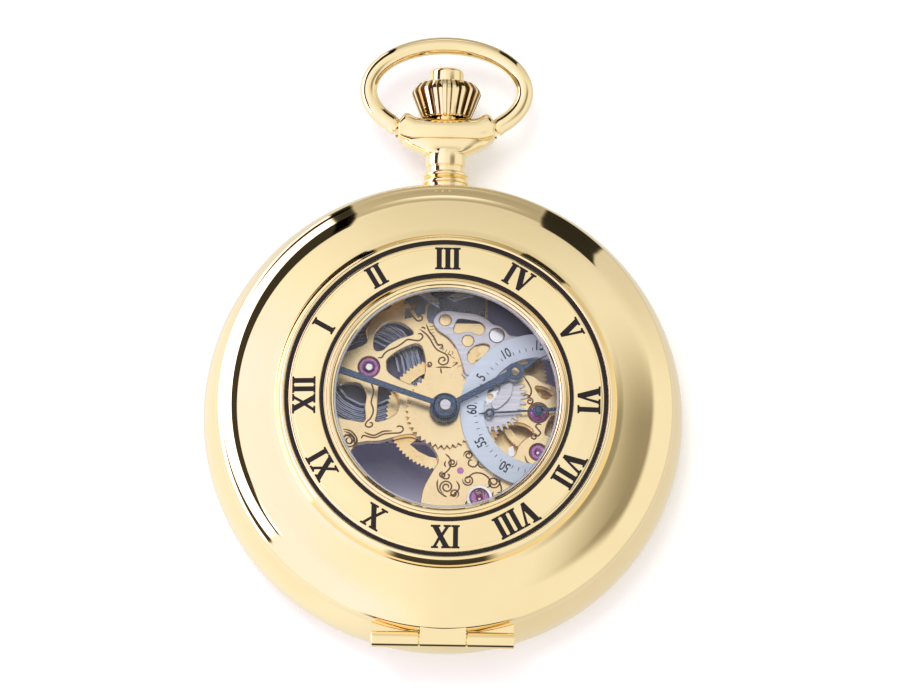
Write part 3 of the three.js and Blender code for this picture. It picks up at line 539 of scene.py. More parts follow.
# Slab-serif capitals one unit high: each has its advance and its outline.
LETTERS = {
    "I": (0.37, [(0, 1), (0.36, 1), (0.36, 0.92), (0.29, 0.90), (0.29, 0.10), (0.36, 0.08), (0.36, 0), (0, 0),
                 (0, 0.08), (0.07, 0.10), (0.07, 0.90), (0, 0.92)]),
    "V": (0.86, [(0, 1), (0.42, 1), (0.42, 0.92), (0.35, 0.90), (0.52, 0.36), (0.64, 0.90), (0.56, 0.92),
                 (0.56, 1), (0.85, 1), (0.85, 0.92), (0.77, 0.90), (0.52, 0), (0.36, 0), (0.09, 0.90),
                 (0, 0.92)]),
    "X": (0.90, [(0, 1), (0.42, 1), (0.42, 0.92), (0.36, 0.90), (0.49, 0.65), (0.63, 0.90), (0.55, 0.92),
                 (0.55, 1), (0.86, 1), (0.86, 0.92), (0.77, 0.90), (0.56, 0.53), (0.80, 0.10), (0.88, 0.08),
                 (0.88, 0), (0.46, 0), (0.46, 0.08), (0.53, 0.10), (0.41, 0.34), (0.25, 0.10), (0.33, 0.08),
                 (0.33, 0), (0, 0), (0, 0.08), (0.10, 0.10), (0.34, 0.47), (0.09, 0.90), (0, 0.92)]),
}
HOURS = ["I", "II", "III", "IV", "V", "VI", "VII", "VIII", "IX", "X", "XI", "XII"]


def numerals():
    """The hours, upright from the hub outwards; hour 3 points at the crown."""
    height = 2.42
    middle_radius = 14.82
    for hour, text in enumerate(HOURS, 1):
        width = sum(LETTERS[letter][0] for letter in text) - 0.02
        angle = 180 - 30 * hour
        out = Vector(polar(1, angle))
        along = Vector(polar(1, angle - 90))
        at = -width / 2
        parts = []
        for letter in text:
            advance, outline = LETTERS[letter]
            loop = []
            for u, v in outline:
                place = out * (middle_radius + (v - 0.5) * height) + along * ((at + u) * height)
                loop.append((place.x, place.y))
            points, faces = flat_mesh("letter", loop, [], -0.06, 0.03, 0.015)
            parts.append(([(x, y, z + cone_height(math.hypot(x, y))) for x, y, z in points], faces))
            at += advance
        finish_piece(merged(f"numeral_{hour:02d}", parts), BLACK_ENAMEL, "lid")


# ---------------------------------------------------------------- pendant, bow and crown
def pendant_pieces():
    """The beaded neck, and the head that holds the bow: a bar with horns on a taper."""
    profile = [(0.95, 23.3), (2.3, 23.3), (2.2, 24.6)]
    for bead_y, valley in ((24.97, 2.2), (25.7, 2.05)):
        for angle in range(-90, 91, 18):
            turn = math.radians(angle)
            profile.append((valley + (2.42 - valley) * math.cos(turn), bead_y + 0.26 * math.sin(turn)))
    profile += [(2.0, 26.0), (2.0, 26.5), (1.94, 26.55), (1.94, 26.62), (2.12, 26.68), (2.12, 28.3),
                (0.95, 28.3)]
    lathe("pendant_neck", rounded(profile, 0.04, 2), CASE_GOLD, "case", segments=96, along_y=True,
          slot="case_gold")
    bar = []
    for k in range(-40, 41):
        x = 5.05 * math.sin(math.pi / 2 * k / 40) if abs(k) > 20 else 5.05 * k / 40 * 1.41421
        reach = abs(x)
        horn = 0.45 * math.exp(-((reach - 4.15) / 0.7) ** 2)
        top = 31.72 + horn + 0.012 * reach ** 2 - 0.9 * max(0.0, reach - 4.3) ** 1.5
        bottom = 29.0 + 0.55 * max(0.0, (reach - 3.2) / 1.85) ** 2
        shrink = 1 - 0.1 * max(0.0, (reach - 4.85) / 0.2) ** 2
        bar.append((x, (top + bottom) / 2, (top - bottom) / 2 * shrink,
                    2.2 * shrink * (1 - 0.012 * reach ** 1.5)))
    taper = [(29.6, 4.75, 1.85), (29.15, 4.6, 1.8), (28.8, 4.1, 1.75), (28.45, 3.4, 1.8), (28.15, 2.75, 1.9),
             (27.95, 2.35, 2.0), (27.85, 2.2, 1.95)]
    parts = [loft([[(x, middle_y + half * u, STEM_Z + depth * v) for u, v in superellipse(2.8)] for x,
                   middle_y, half, depth in bar]), loft([[(half * u, y, STEM_Z + depth * v) for u,
                                                          v in superellipse(3.2)] for y, half,
                                                         depth in taper])]
    finish_piece(merged("pendant_head", parts), CASE_GOLD, "case", ["pendant"], sharp=50)


def superellipse(power, steps=48):
    """Points round a rounded rectangle one unit in half-width and half-height."""
    result = []
    for k in range(steps):
        turn = 2 * math.pi * k / steps
        c, s = math.cos(turn), math.sin(turn)
        result.append((math.copysign(abs(c) ** (2 / power), c), math.copysign(abs(s) ** (2 / power), s)))
    return result


def tube(path, radii, section=28):
    """A closed tube along points in the XY plane at the stem's height."""
    loops = []
    for i, (x, y) in enumerate(path):
        before, after = Vector(path[max(i - 1, 0)]), Vector(path[min(i + 1, len(path) - 1)])
        ahead = (after - before).normalized()
        side = Vector((-ahead.y, ahead.x))
        turns = [2 * math.pi * k / section for k in range(section)]
        reaches = [(radii[i] * math.cos(turn), radii[i] * math.sin(turn)) for turn in turns]
        loops.append([(x + side.x * reach, y + side.y * reach, STEM_Z + rise) for reach, rise in reaches])
    return loft(loops)


def bow_piece():
    wire = 0.91
    loop = [(8.17 * math.cos(math.radians(a)), 34.9 + 4.92 * math.sin(math.radians(a)))
            for a in range(-46, 227, 3)]
    left_end, right_end = [(-5.36, 31.02), (-5.13, 30.8)], [(5.13, 30.8), (5.36, 31.02)]
    parts = [tube([*right_end, *loop, *left_end], [0.8, 0.88, *[wire] * len(loop), 0.88, 0.8])]
    for side in (-1, 1):
        parts.append(tube([(side * 5.3, 30.4), (side * 3.95, 30.4)], [0.58, 0.58]))
    finish_piece(merged("bow_wire", parts), CASE_GOLD, "bow_ring", ["bow"], sharp=50)


GROOVE_START = 0.12
GROOVE_END = 0.55
GROOVE_DEPTH = 0.42


def crown_pieces():
    """The fluted crown, from rings of (radius, y, depth of the flutes), and its button."""
    ribs = 22
    per_rib = 8
    rings = [(1.25, 31.0, 0), (1.25, 31.82, 0), (2.3, 31.87, 0.1), (2.6, 32.0, 0.7), (2.88, 32.65, 1),
             (3.18, 33.4, 1), (3.46, 34.1, 1), (3.62, 34.5, 1), (3.58, 34.75, 1), (3.3, 35.15, 0.9),
             (2.98, 35.5, 0.55), (2.75, 35.6, 0.3), (1.9, 35.65, 0), (1.86, 35.5, 0), (1.86, 33.6, 0)]
    sections = []
    for radius, y, depth in rings:
        section = []
        for k in range(ribs * per_rib):
            in_groove = GROOVE_START <= (k % per_rib) / per_rib < GROOVE_END
            reach = radius - GROOVE_DEPTH * depth * in_groove
            turn = 2 * math.pi * k / (ribs * per_rib)
            section.append((reach * math.cos(turn), y, STEM_Z + reach * math.sin(turn)))
        sections.append(section)
    knob = mesh_object("crown_knob", *loft(sections))
    finish_piece(knob, CASE_GOLD, "crown_and_stem", ["crown"], sharp=25)
    # The flutes' side faces take the very dark gold: painted shade in the grooves.
    knob.data.materials.append(GROOVE_PAINTED_SHADE)
    for polygon in knob.data.polygons:
        outward = Vector((polygon.center.x, polygon.center.z - STEM_Z * MM)).normalized()
        faces_sideways = polygon.normal.xz.normalized().dot(outward) < 0.75
        if faces_sideways and 31.9 < polygon.center.y / MM < 35.5:
            polygon.material_index = 1
    pin("button_cap", 1.78, 34.9, 36.9, 1.55, 37.12, 37.2, 0.15, CASE_GOLD, "button",
        replaced=["release_button"], slot="case_gold", segments=64, along_y=True)


# ---------------------------------------------------------------- drawing helpers
def smooth(points, closed=False, steps=6):
    """A Catmull-Rom curve through the points."""
    count = len(points)
    result = []
    for i in range(count if closed else count - 1):
        if closed:
            four = [Vector(points[(i + k) % count]) for k in (-1, 0, 1, 2)]
        else:
            four = [Vector(points[min(max(i + k, 0), count - 1)]) for k in (-1, 0, 1, 2)]
        for k in range(steps):
            t = k / steps
            spot = (2 * four[1] + (four[2] - four[0]) * t
                    + (2 * four[0] - 5 * four[1] + 4 * four[2] - four[3]) * t * t
                    + (3 * four[1] - four[0] - 3 * four[2] + four[3]) * t ** 3) / 2
            result.append((spot.x, spot.y))
    if not closed:
        result.append(tuple(points[-1]))
    return result


def curl(centre, outer, inner, start, sweep, steps=14):
    """A spiral running inwards, for the end of a scroll."""
    return [polar(outer + (inner - outer) * i / steps, start + sweep * i / steps, centre)
            for i in range(steps + 1)]


def ribbon(path, width, bottom, top):
    """A narrow strip along a path, drawn thin at both ends."""
    points, faces = [], []
    last = len(path) - 1
    for i, spot in enumerate(path):
        ahead = Vector(path[min(i + 1, last)]) - Vector(path[max(i - 1, 0)])
        side = Vector((-ahead.y, ahead.x)).normalized()
        half = width / 2 * min(1.0, 0.25 + i / 5, 0.25 + (last - i) / 5)
        for sign, z in ((-1, bottom), (1, bottom), (1, top), (-1, top)):
            points.append((spot[0] + sign * side.x * half, spot[1] + sign * side.y * half, z))
    for i in range(last):
        for k in range(4):
            a, b = 4 * i + k, 4 * i + (k + 1) % 4
            faces.append((a, b, b + 4, a + 4))
    faces.append((0, 3, 2, 1))
    faces.append((4 * last, 4 * last + 1, 4 * last + 2, 4 * last + 3))
    return points, faces


def turned_about(points, angle, centre):
    turn = math.radians(angle)
    c, s = math.cos(turn), math.sin(turn)
    return [(centre[0] + x * c - y * s, centre[1] + x * s + y * c) for x, y in points]


def gear_outline(teeth, tip, root, centre, tooth=0.42):
    """Round-topped teeth on a wheel's rim."""
    pitch = 360 / teeth
    wide, half, narrow = (pitch * tooth * share for share in (0.62, 0.5, 0.2))
    flank = (tip + root) / 2
    shape = ((root, -pitch * 0.5), (root, -wide), (flank, -half), (tip, -narrow), (tip, narrow),
             (flank, half), (root, wide))
    return [polar(radius, i * pitch + shift, centre) for i in range(teeth) for radius, shift in shape]


# ---------------------------------------------------------------- dial ring and hands
def digit_mesh(text, height, place, turn, bottom, top):
    curve = bpy.data.curves.new("digits", "FONT")
    curve.body = text
    curve.size = height / 0.72
    curve.align_x = "CENTER"
    curve.align_y = "CENTER"
    curve.extrude = (top - bottom) / 2
    curve.space_character = 0.95
    curve.offset = 0.018
    points, faces = curve_solid(curve)
    narrow = Matrix.Diagonal((0.74, 1, 1)).to_4x4()
    shift = Matrix.Translation((*place, (top + bottom) / 2)) @ Matrix.Rotation(math.radians(turn), 4,
                                                                               "Z") @ narrow
    return [tuple(shift @ Vector(point)) for point in points], faces


STANDING_Z = 7.62
LINE_WIDTH = 0.17


def seconds_dial():
    bottom, top = levels("seconds_ring")
    inner, outer = 5.7, 8.2
    flat("small_seconds_ring", circle(outer, SECONDS, 140), [circle(inner, SECONDS, 110)], bottom, top - 0.01,
         DIAL_BLUE, "case", ["seconds_ring"])
    for name, angle in (("ring_foot_a", 0), ("ring_foot_b", 80), ("ring_foot_c", -80)):
        disc(name, 0.45, STANDING_Z, bottom, 0.06, PLATE_GOLD, "case", centre=polar(7.6, angle, SECONDS),
             segments=28, slot="plate_gold")
    marks = []
    for second in range(60):
        if second % 5 == 0:
            continue
        angle = 180 - 6 * second
        path = [polar(radius, angle, SECONDS) for radius in (6.4, 6.6, 6.8)]
        marks.append(ribbon(path, LINE_WIDTH, top - 0.03, top + 0.006))
    finish_piece(merged("seconds_marks", marks), PRINT, "case")
    digits = []
    for second in range(5, 65, 5):
        angle = 180 - 6 * second
        digits.append(digit_mesh(str(second), 1.05, polar(6.92, angle, SECONDS), angle - 90, top - 0.03, top
                                 + 0.006))
    finish_piece(merged("seconds_digits", digits), PRINT, "case")


def hand_outline(boss, root, neck, ring_at, ring, tip, length):
    """A hand along +X: round boss, tapering blade, open ring and needle point."""
    start = math.degrees(math.asin(root / 2 / boss))
    near = math.degrees(math.asin(neck / 2 / ring))
    far = 20
    shoulder = polar(ring, far, (ring_at, 0))
    slope = [(shoulder[0] + (length - shoulder[0]) * t, shoulder[1] * (1 - t) ** 2.4 + tip / 2)
             for t in (0.15, 0.3, 0.5, 0.75, 1.0)]
    outline = arc(boss, start, 360 - start, 30)
    outline += arc(ring, 180 + near, 360 - far, 16, (ring_at, 0))
    outline += [(x, -y) for x, y in slope] + slope[::-1]
    outline += arc(ring, far, 180 - near, 16, (ring_at, 0))
    return outline


def hand(name, node, angle, body, size):
    boss, bore, root, neck, ring_at, ring, eye, tip, length = size
    bottom, top = levels(node)
    centre = SECONDS if node == "seconds_hand" else HUB
    outline = turned_about(hand_outline(boss, root, neck, ring_at, ring, tip, length), angle, centre)
    holes = [turned_about(circle(eye, (ring_at + 0.03, 0), 26), angle, centre)]
    holes.append(turned_about(circle(bore, (0, 0), 20), angle, centre))
    flat(name, outline, holes, bottom, top, BLUED_STEEL, body, [node], bevel=0.045)


def hands():
    """Each size: boss, bore, root and neck widths, ring place, ring and eye radii, tip width, length."""
    hand("hour_pointer", "hour_hand", 28.5, "hour", (1.55, 1.12, 0.62, 0.82, 8.3, 0.92, 0.42, 0.07, 12.4))
    hand("minute_pointer", "minute_hand", 161.6, "minute", (1.28, 0.6, 0.55, 0.72, 13.0, 0.78, 0.4, 0.07,
                                                            16.6))
    hand("seconds_pointer", "seconds_hand", 184.4, "fourth", (0.62, 0.22, 0.2, 0.2, 5.1, 0.5, 0.24, 0.05,
                                                              6.3))
    bottom, top = levels("seconds_hand")
    tail = turned_about([(-2.6, -0.26), (-0.4, -0.14), (-0.4, 0.14), (-2.6, 0.26)], 184.4, SECONDS)
    flat("seconds_tail", rounded(tail, 0.1), [], bottom, top, BLUED_STEEL, "fourth", bevel=0.03)
    pin("seconds_hub", 0.42, 8.62, 8.95, 0.3, 9.02, 9.02, 0.06, BLUED_STEEL, "fourth", centre=SECONDS,
        segments=40)
    lathe("hub_collar", rounded([(0.62, 9.95), (1.24, 9.95), (1.24, 10.28), (1.1, 10.42), (0.62, 10.42)],
                                0.07), BLUED_STEEL, "minute", segments=64)
    pin("hub_pin", 0.52, 9.93, 10.5, 0.4, 10.62, 10.66, 0.08, BRIGHT_STEEL, "minute", segments=48)


# ---------------------------------------------------------------- movement, dial side
UPPER_BARREL_WINDOW = [(-7.35, 6.5), (-6.5, 6.45), (-5.8, 7.1), (-4.7, 7.75), (-3.3, 8.25), (-4.1, 9.15),
                       (-4.9, 9.5), (-5.9, 9.5), (-6.8, 8.9), (-7.35, 7.9)]
RIGHT_BARREL_WINDOW = [(-2.7, 7.15), (-4.5, 6.6), (-5.9, 5.55), (-6.05, 4.9), (-5.85, 4.1), (-4.6, 3.25),
                       (-3.2, 2.75), (-2.4, 3.1), (-2.05, 4.2), (-2.05, 5.6)]
LOWER_BARREL_WINDOW = [(-6.75, 2.9), (-6.2, 2.6), (-5.2, 2.2), (-4.75, 1.2), (-4.9, -0.1), (-5.8, -0.85),
                       (-7.1, -1.2), (-7.0, -0.4), (-6.95, 1.0), (-6.9, 2.2)]
LEFT_BARREL_WINDOW = [(-9.5, 2.9), (-8.6, 2.6), (-8.15, 1.6), (-8.3, 0.4), (-8.3, -1.15), (-9.6, -1.1),
                      (-11.4, -0.7), (-12.4, 0.2), (-12.9, 1.6), (-11.8, 2.6)]
UPPER_LEFT_GAP = [(-8.2, 7.2), (-8.2, 8.6), (-7.2, 10.2), (-5.6, 11.2), (-6.4, 12.6), (-9.6, 10.4),
                  (-12.2, 7.4), (-12.6, 5.6), (-10.4, 6.2)]
LOWER_LEFT_GAP = [(-9.6, -4.3), (-8.4, -3.45), (-6.65, -3.3), (-4.5, -2.7), (-3.2, -2.6), (-1.9, -3.3),
                  (-1.0, -4.2), (-0.6, -5.3), (-1.1, -6.3), (-2.05, -8.1), (-2.4, -9.8), (-2.6, -13),
                  (-7, -13), (-11.2, -9.4)]
CENTRE_RIGHT_GAP = [(4.7, -1.7), (5.5, -1.7), (6.4, -1.2), (8.0, -1.15), (9.1, -1.7), (9.2, -2.3),
                    (8.3, -2.95), (7.7, -3.7), (7.35, -4.6), (6.5, -4.7), (5.5, -3.9), (4.8, -2.8)]
UPPER_RIGHT_GAP = [(7.5, 5.0), (8.8, 5.5), (10.3, 6.1), (11.6, 6.2), (13.4, 4.4), (13.0, 2.9), (11.6, 2.9),
                   (10.2, 3.3), (9.3, 3.9), (8.2, 4.2)]
WHEEL_GAP = [(9.45, 2.75), (10.2, 2.75), (11.3, 2.2), (10.75, 1.5), (10.05, 1.75)]
RIGHT_GAP = [(10.5, -2.1), (11.2, -0.3), (12.6, -0.4), (13.2, -2.6), (11.9, -3.0), (11.0, -2.5)]

ENGRAVING = [
    [(-7.0, 5.6), (-6.57, 5.64), (-6.31, 6.05), (-5.88, 6.4), (-5.1, 6.75), (-4.49, 7.15), (-4.14, 7.45),
     (-3.8, 7.6), (-3.1, 7.52), (-2.67, 7.52), (-2.37, 7.8), (-2.33, 8.04), (-2.54, 8.24), (-2.85, 8.2)],
    [(-4.3, 10.88), (-3.7, 10.44), (-3.2, 9.9), (-2.93, 9.64), (-2.58, 9.64), (-2.37, 9.9), (-2.5, 10.15),
     (-2.78, 10.1), (-2.8, 9.9)],
    [(-2.67, 8.75), (-1.98, 8.22), (-1.55, 7.69), (-1.2, 7.06), (-0.77, 6.53), (0.1, 6.09), (0.36, 5.64),
     (0.27, 5.15), (-0.22, 4.95), (-0.62, 5.2), (-0.55, 5.6), (-0.16, 5.76), (0.02, 5.48), (-0.25, 5.33)],
    [(-1.98, 9.3), (-1.63, 8.49), (-1.2, 7.95), (-0.94, 7.42), (-0.68, 7.06), (-0.33, 7.12), (-0.25, 6.8),
     (-0.5, 6.62)],
    [(-2.5, 8.84), (-2.24, 8.93), (-2.07, 8.72)],
    [(-0.94, 4.67), (-0.1, 4.7), (0.7, 4.67)],
    [(-0.42, 4.6), (-0.38, 4.3), (-0.33, 4.0)],
    [(0.27, 6.18), (0.9, 5.8), (1.45, 5.38), (0.79, 4.76)],
    [(-7.78, 3.16), (-7.5, 2.5), (-7.4, 1.9), (-7.56, 1.24), (-7.61, 0.7), (-7.42, 0.17), (-7.45, -0.36),
     (-7.69, -0.9), (-8.04, -1.25), (-8.21, -1.6), (-7.95, -1.83), (-7.55, -1.74), (-7.5, -1.4),
     (-7.8, -1.38)],
    [(-10.55, -2.1), (-9.69, -2.32), (-9.08, -3.1), (-9.17, -3.83), (-9.45, -4.1)],
    [(-10.45, -2.35), (-9.75, -2.58), (-9.32, -3.15), (-9.4, -3.75)],
    [(-10.38, -2.65), (-9.8, -2.9), (-9.6, -3.38), (-9.86, -3.7)],
    [(-8.34, -2.36), (-7.78, -2.62), (-7.26, -2.7), (-6.74, -2.46), (-6.3, -2.26), (-5.4, -2.2)],
    [(-8.6, -3.1), (-8.55, -2.92), (-8.4, -2.74), (-8.04, -2.82), (-7.6, -2.93), (-7.09, -2.93),
     (-6.66, -2.72), (-6.2, -2.54), (-5.36, -2.45), (-4.58, -2.38), (-4.27, -2.05), (-4.4, -1.74),
     (-4.75, -1.68), (-4.95, -1.83)],
    [(0.14, -4.58), (0.53, -4.89), (0.75, -5.43), (0.62, -6.05), (0.27, -6.49), (-0.16, -6.85),
     (-0.08, -7.15), (0.42, -7.2), (0.58, -6.85), (0.36, -6.7)],
    [(0.2, -5.3), (0.08, -5.7), (0.27, -5.96)],
    [(-0.59, -7.29), (-0.68, -7.82), (-0.51, -8.53), (0.01, -8.98), (0.36, -9.16)],
    [(1.3, -7.4), (1.62, -8.0), (1.45, -8.53), (1.05, -8.9), (0.62, -9.05)],
    [(2.3, -4.2), (3.1, -4.6), (3.6, -5.3), (3.2, -5.9), (2.6, -5.7), (2.65, -5.2), (3.0, -5.2)],
    [(2.4, -7.2), (3.1, -6.6), (4.0, -6.6), (4.7, -7.1), (4.9, -7.8), (4.5, -8.1)],
    [(4.6, -4.4), (4.9, -5.2), (5.7, -5.9), (6.5, -6.1), (7.0, -5.7), (6.8, -5.3), (6.45, -5.45)],
    [(5.4, -7.0), (5.9, -7.7), (6.0, -8.5), (5.5, -9.1), (5.1, -8.9), (5.2, -8.5)],
    [(10.15, -1.3), (9.8, -1.2), (9.55, -1.45), (9.8, -1.8), (10.05, -2.15), (9.75, -2.5), (9.45, -2.35)],
    [(8.2, 3.9), (8.75, 3.1), (9.05, 2.4), (8.9, 1.75), (8.45, 1.65)],
    [(8.0, 1.5), (8.45, 1.9), (9.0, 1.75)],
    [(8.4, -4.6), (8.7, -5.3), (9.3, -5.6)],
]


# Each spiral scroll: centre, outer radius, start angle and sweep.
SPIRALS = [((2.56, -4.67), 0.5, 200, -560), ((4.1, -5.5), 0.62, 90, 600), ((0.88, -5.5), 0.5, 30, -520),
           ((2.56, -7.35), 0.6, 160, 620), ((5.2, -7.5), 0.72, 60, -600), ((1.1, -8.8), 0.5, 300, 520),
           ((5.75, -9.0), 0.45, 120, -500), ((0.3, -8.1), 0.75, 250, -640), ((3.7, -8.6), 0.6, 330, 560),
           ((-0.1, -6.8), 0.36, 90, 480), ((6.6, -6.4), 0.5, 180, 540), ((-9.9, -3.25), 0.85, 60, -700),
           ((-3.4, 11.1), 0.32, 200, 480), ((9.4, -2.6), 0.36, 20, 500), ((8.9, 1.2), 0.4, 140, -500),
           ((2.7, -9.9), 0.45, 40, 520), ((-1.6, 5.0), 0.3, 200, 480)]


def engraved(path):
    """A dark line cut into the plate's top."""
    return ribbon(path, LINE_WIDTH, PLATE_TOP - 0.03, PLATE_TOP + 0.012)


def engraved_teeth():
    """Short radial cuts round the keyless wheels and round the hub."""
    cuts = []
    for centre, radius, start, end, pitch in (((1.5, 9.0), 2.92, 172, 262, 7), (HUB, 3.85, 122, 300, 6)):
        for angle in range(start, end, pitch):
            cuts.append(engraved([polar(radius + shift, angle, centre) for shift in (-0.2, 0.0, 0.2)]))
    return cuts


def skeleton_plate():
    bottom = levels("main_plate")[0]
    gaps = [UPPER_BARREL_WINDOW, RIGHT_BARREL_WINDOW, LOWER_BARREL_WINDOW, LEFT_BARREL_WINDOW, UPPER_LEFT_GAP,
            LOWER_LEFT_GAP, CENTRE_RIGHT_GAP, UPPER_RIGHT_GAP, WHEEL_GAP, RIGHT_GAP]
    holes = [smooth(gap, closed=True, steps=4) for gap in gaps]
    bores = (("barrel_jewel", 1.14), ("seconds_jewel", 0.94), ("escape_jewel", 0.84), ("balance_jewel", 1.04))
    holes += [circle(radius, middle(node), 36) for node, radius in bores]
    holes += [circle(0.44, HUB, 24), circle(0.32, middle("third_jewel"), 20)]
    points, faces = flat_mesh("plate", circle(18.2, HUB, 120), holes, bottom, PLATE_TOP, 0.07)
    plate = mesh_object("skeleton_plate", points, faces)
    recess = [(-4.3, 9.75), (-2.1, 10.4), (-1.7, 9.4), (4.3, 9.4), (4.3, 16.4), (-4.3, 16.4)]
    pinion_window = [(-2.0, 14.2), (2.0, 14.2), (2.0, 16.3), (-2.0, 16.3)]
    for name, outline, depth in (("recess", recess, 6.8), ("pinion_window", pinion_window, 6.2)):
        points, faces = flat_mesh(name, outline, [], depth, 9, 0.01)
        boolean_cut(plate, mesh_object(name, points, faces))
    finish_piece(plate, PLATE_GOLD, "case", ["main_plate"], sharp=30)
    paths = [smooth(line) for line in ENGRAVING]
    paths += [curl(centre, radius, radius * 0.25, start, sweep, 36) for centre, radius, start,
              sweep in SPIRALS]
    lines = [engraved(path) for path in paths]
    finish_piece(merged("plate_engraving", lines + engraved_teeth()), ENGRAVED, "case")
    limb = [(-4.66, 11.2), (-4.06, 11.24), (-3.62, 11.06), (-3.4, 10.6), (-3.1, 10.0), (-2.85, 9.55),
            (-2.6, 8.85)]
    vine = [(-1.29, 11.95), (-1.89, 11.24), (-1.98, 10.6), (-2.07, 9.73), (-1.89, 9.1)]
    scrolls = [ribbon(smooth(path), width, PLATE_TOP - 0.5, PLATE_TOP - 0.02)
               for path, width in ((limb, 0.34), (vine, 0.22))]
    finish_piece(merged("plate_scrolls", scrolls), PLATE_GOLD, "case")
    # A thin dark blued-steel sheet on the keyless recess floor: partly the steel seen there, partly painted
    # shade.
    floor_outline = [(-4.2, 9.6), (4.2, 9.3), (4.2, 14.1), (-4.2, 14.1)]
    flat("keyless_floor_steel_and_shade", floor_outline, [], 6.81, 6.86, SPRING_STEEL, "case", bevel=0.01, sharp=35)
    # A thin dark violet sheet over the plate's upper right: painted shade, not a part of the watch.
    rim = [(4.4, 14.0), (4.4, 9.6)] + arc(10.2, 62, 30, 12, HUB) + arc(14.8, 30, 71, 16, HUB)
    flat("plate_painted_shade_sheet", rim, [], PLATE_TOP - 0.02, PLATE_TOP + 0.03, PAINTED_SHADE_VIOLET, "case", bevel=0.01)


def steel_cover():
    """The setting-lever spring, which covers the keyless wheels."""
    bottom, top = levels("setting_lever_spring")
    bottom = max(bottom, 8.0)
    outline = [(-1.24, 9.52), (-0.77, 10.29), (0.07, 10.62), (1.74, 10.43), (3.33, 10.24), (4.26, 9.81),
               (5.0, 9.24), (5.66, 9.05), (6.22, 8.66), (6.68, 8.14), (7.43, 7.99), (8.2, 7.6), (7.8, 7.0),
               (6.2, 6.7), (4.6, 5.8), (3.3, 4.1), (2.35, 3.74), (2.02, 4.17), (1.65, 5.41), (1.28, 6.37),
               (0.81, 7.23), (0.16, 7.9), (-0.59, 8.38), (-1.05, 8.86)]
    slot_hole = [(0.81, 8.66), (1.28, 9.81), (2.4, 9.72), (3.7, 9.52), (4.2, 8.95), (4.07, 8.28), (3.5, 8.04),
                 (2.68, 8.38), (2.02, 8.38), (1.46, 8.14), (0.95, 8.3)]
    kidney_hole = [(2.3, 5.89), (2.49, 6.37), (3.14, 6.94), (4.0, 7.25), (4.75, 7.0), (4.4, 6.2), (3.5, 5.4),
                   (2.77, 4.9), (2.4, 5.3)]
    plugs = [((0.0, 9.6), 0.6), ((2.38, 7.42), 0.6)]
    screw = (5.38, 8.04)
    holes = [rounded(slot_hole, 0.3), rounded(kidney_hole, 0.3)]
    holes += [circle(radius + 0.04, place, 36) for place, radius in plugs] + [circle(0.8, screw, 36)]
    flat("setting_cover", smooth(outline, closed=True, steps=3), holes, bottom, top, STEEL, "case",
         ["setting_lever_spring"], bevel=0.05)
    for name, (place, radius) in zip(("cover_plug_a", "cover_plug_b"), plugs):
        disc(name, radius, STANDING_Z, top - 0.02, 0.05, PLATE_GOLD, "case", centre=place, segments=40,
             slot="plate_gold")
    slotted_screw("cover_screw", screw, 0.76, STANDING_Z, top + 0.06, 140)


def slotted_screw(name, centre, radius, bottom, top, slot_angle):
    head = disc(name, radius, bottom, top, 0.09, BRIGHT_STEEL, "case", slot="steel", segments=56,
                centre=centre)
    slot_outline = turned_about([(-2, -0.07), (2, -0.07), (2, 0.07), (-2, 0.07)], slot_angle, centre)
    points, faces = flat_mesh("slot", slot_outline, [], top - 0.16, top + 0.2, 0.005)
    boolean_cut(head, mesh_object("slot", points, faces))
    finish_piece(head, BRIGHT_STEEL, "case", sharp=25)


def jewels():
    sizes = (("barrel_jewel", 1.05, 0.48), ("seconds_jewel", 0.9, 0.25), ("escape_jewel", 0.8, 0.2),
             ("balance_jewel", 1.0, 0.2), ("third_jewel", 0.31, 0.22))
    for node, ring, hole in sizes:
        bottom, top = levels(node)
        profile = [(hole, bottom), (ring, bottom), (ring, top - 0.12), (ring - 0.12, top), (hole + 0.22, top),
                   (hole + 0.06, top - 0.18), (hole, top - 0.3)]
        lathe(node.replace("jewel", "ruby"), profile, RUBY, "case", [node], "ruby", 64, middle(node))
    for node, size in (("seconds_jewel", 1.14), ("escape_jewel", 0.98)):
        bottom, top = PLATE_TOP - 0.1, PLATE_TOP + 0.05
        profile = [(size - 0.14, bottom), (size, bottom), (size, top), (size - 0.14, top)]
        lathe(node.replace("jewel", "setting"), rounded(profile, 0.04), ENGRAVED, "case", segments=64,
              centre=middle(node))
    profile = [(1.02, PLATE_TOP - 0.1), (1.35, PLATE_TOP - 0.1), (1.35, PLATE_TOP + 0.1),
               (1.02, PLATE_TOP + 0.06)]
    lathe("balance_setting", rounded(profile, 0.05), BRIGHT_STEEL, "case", segments=64,
          centre=middle("balance_jewel"))
    pin("barrel_pivot", 0.42, 7.2, 7.66, 0.34, 7.74, 7.74, 0.06, BRIGHT_STEEL, "ratchet", centre=BARREL,
        segments=40)
    pin("small_jewel", 0.36, 7.4, 7.62, 0.2, 7.66, 7.6, 0.05, RUBY, "case", centre=(1.73, -6.32), segments=36)


def minute_wheel():
    centre = middle("minute_wheel")
    low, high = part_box("minute_wheel")
    bottom, tip = 7.7, 500 * (high.x - low.x)
    bore = circle(0.32, centre, 20)
    outline = gear_outline(36, tip, tip - 0.62, centre, tooth=0.5)
    flat("minute_wheel_body", outline, [bore], bottom, bottom + 0.22, STEEL, "minute_gear",
         ["minute_wheel"], bevel=0.03)
    flat("minute_wheel_pinion", gear_outline(10, 1.06, 0.75, centre), [bore], 7.93, 8.2, BRIGHT_STEEL,
         "minute_gear", bevel=0.02)
    kidney = [(5.9, 3.15), (7.0, 2.95), (7.1, 2.5), (6.9, 1.6), (6.3, 0.8), (5.4, 0.15), (4.95, 0.4),
              (4.9, 0.9), (5.4, 1.5), (5.75, 2.2), (5.75, 2.8)]
    flat("motion_cover", smooth(kidney, closed=True, steps=4), [], 8.23, 8.33, STEEL, "case", bevel=0.03)


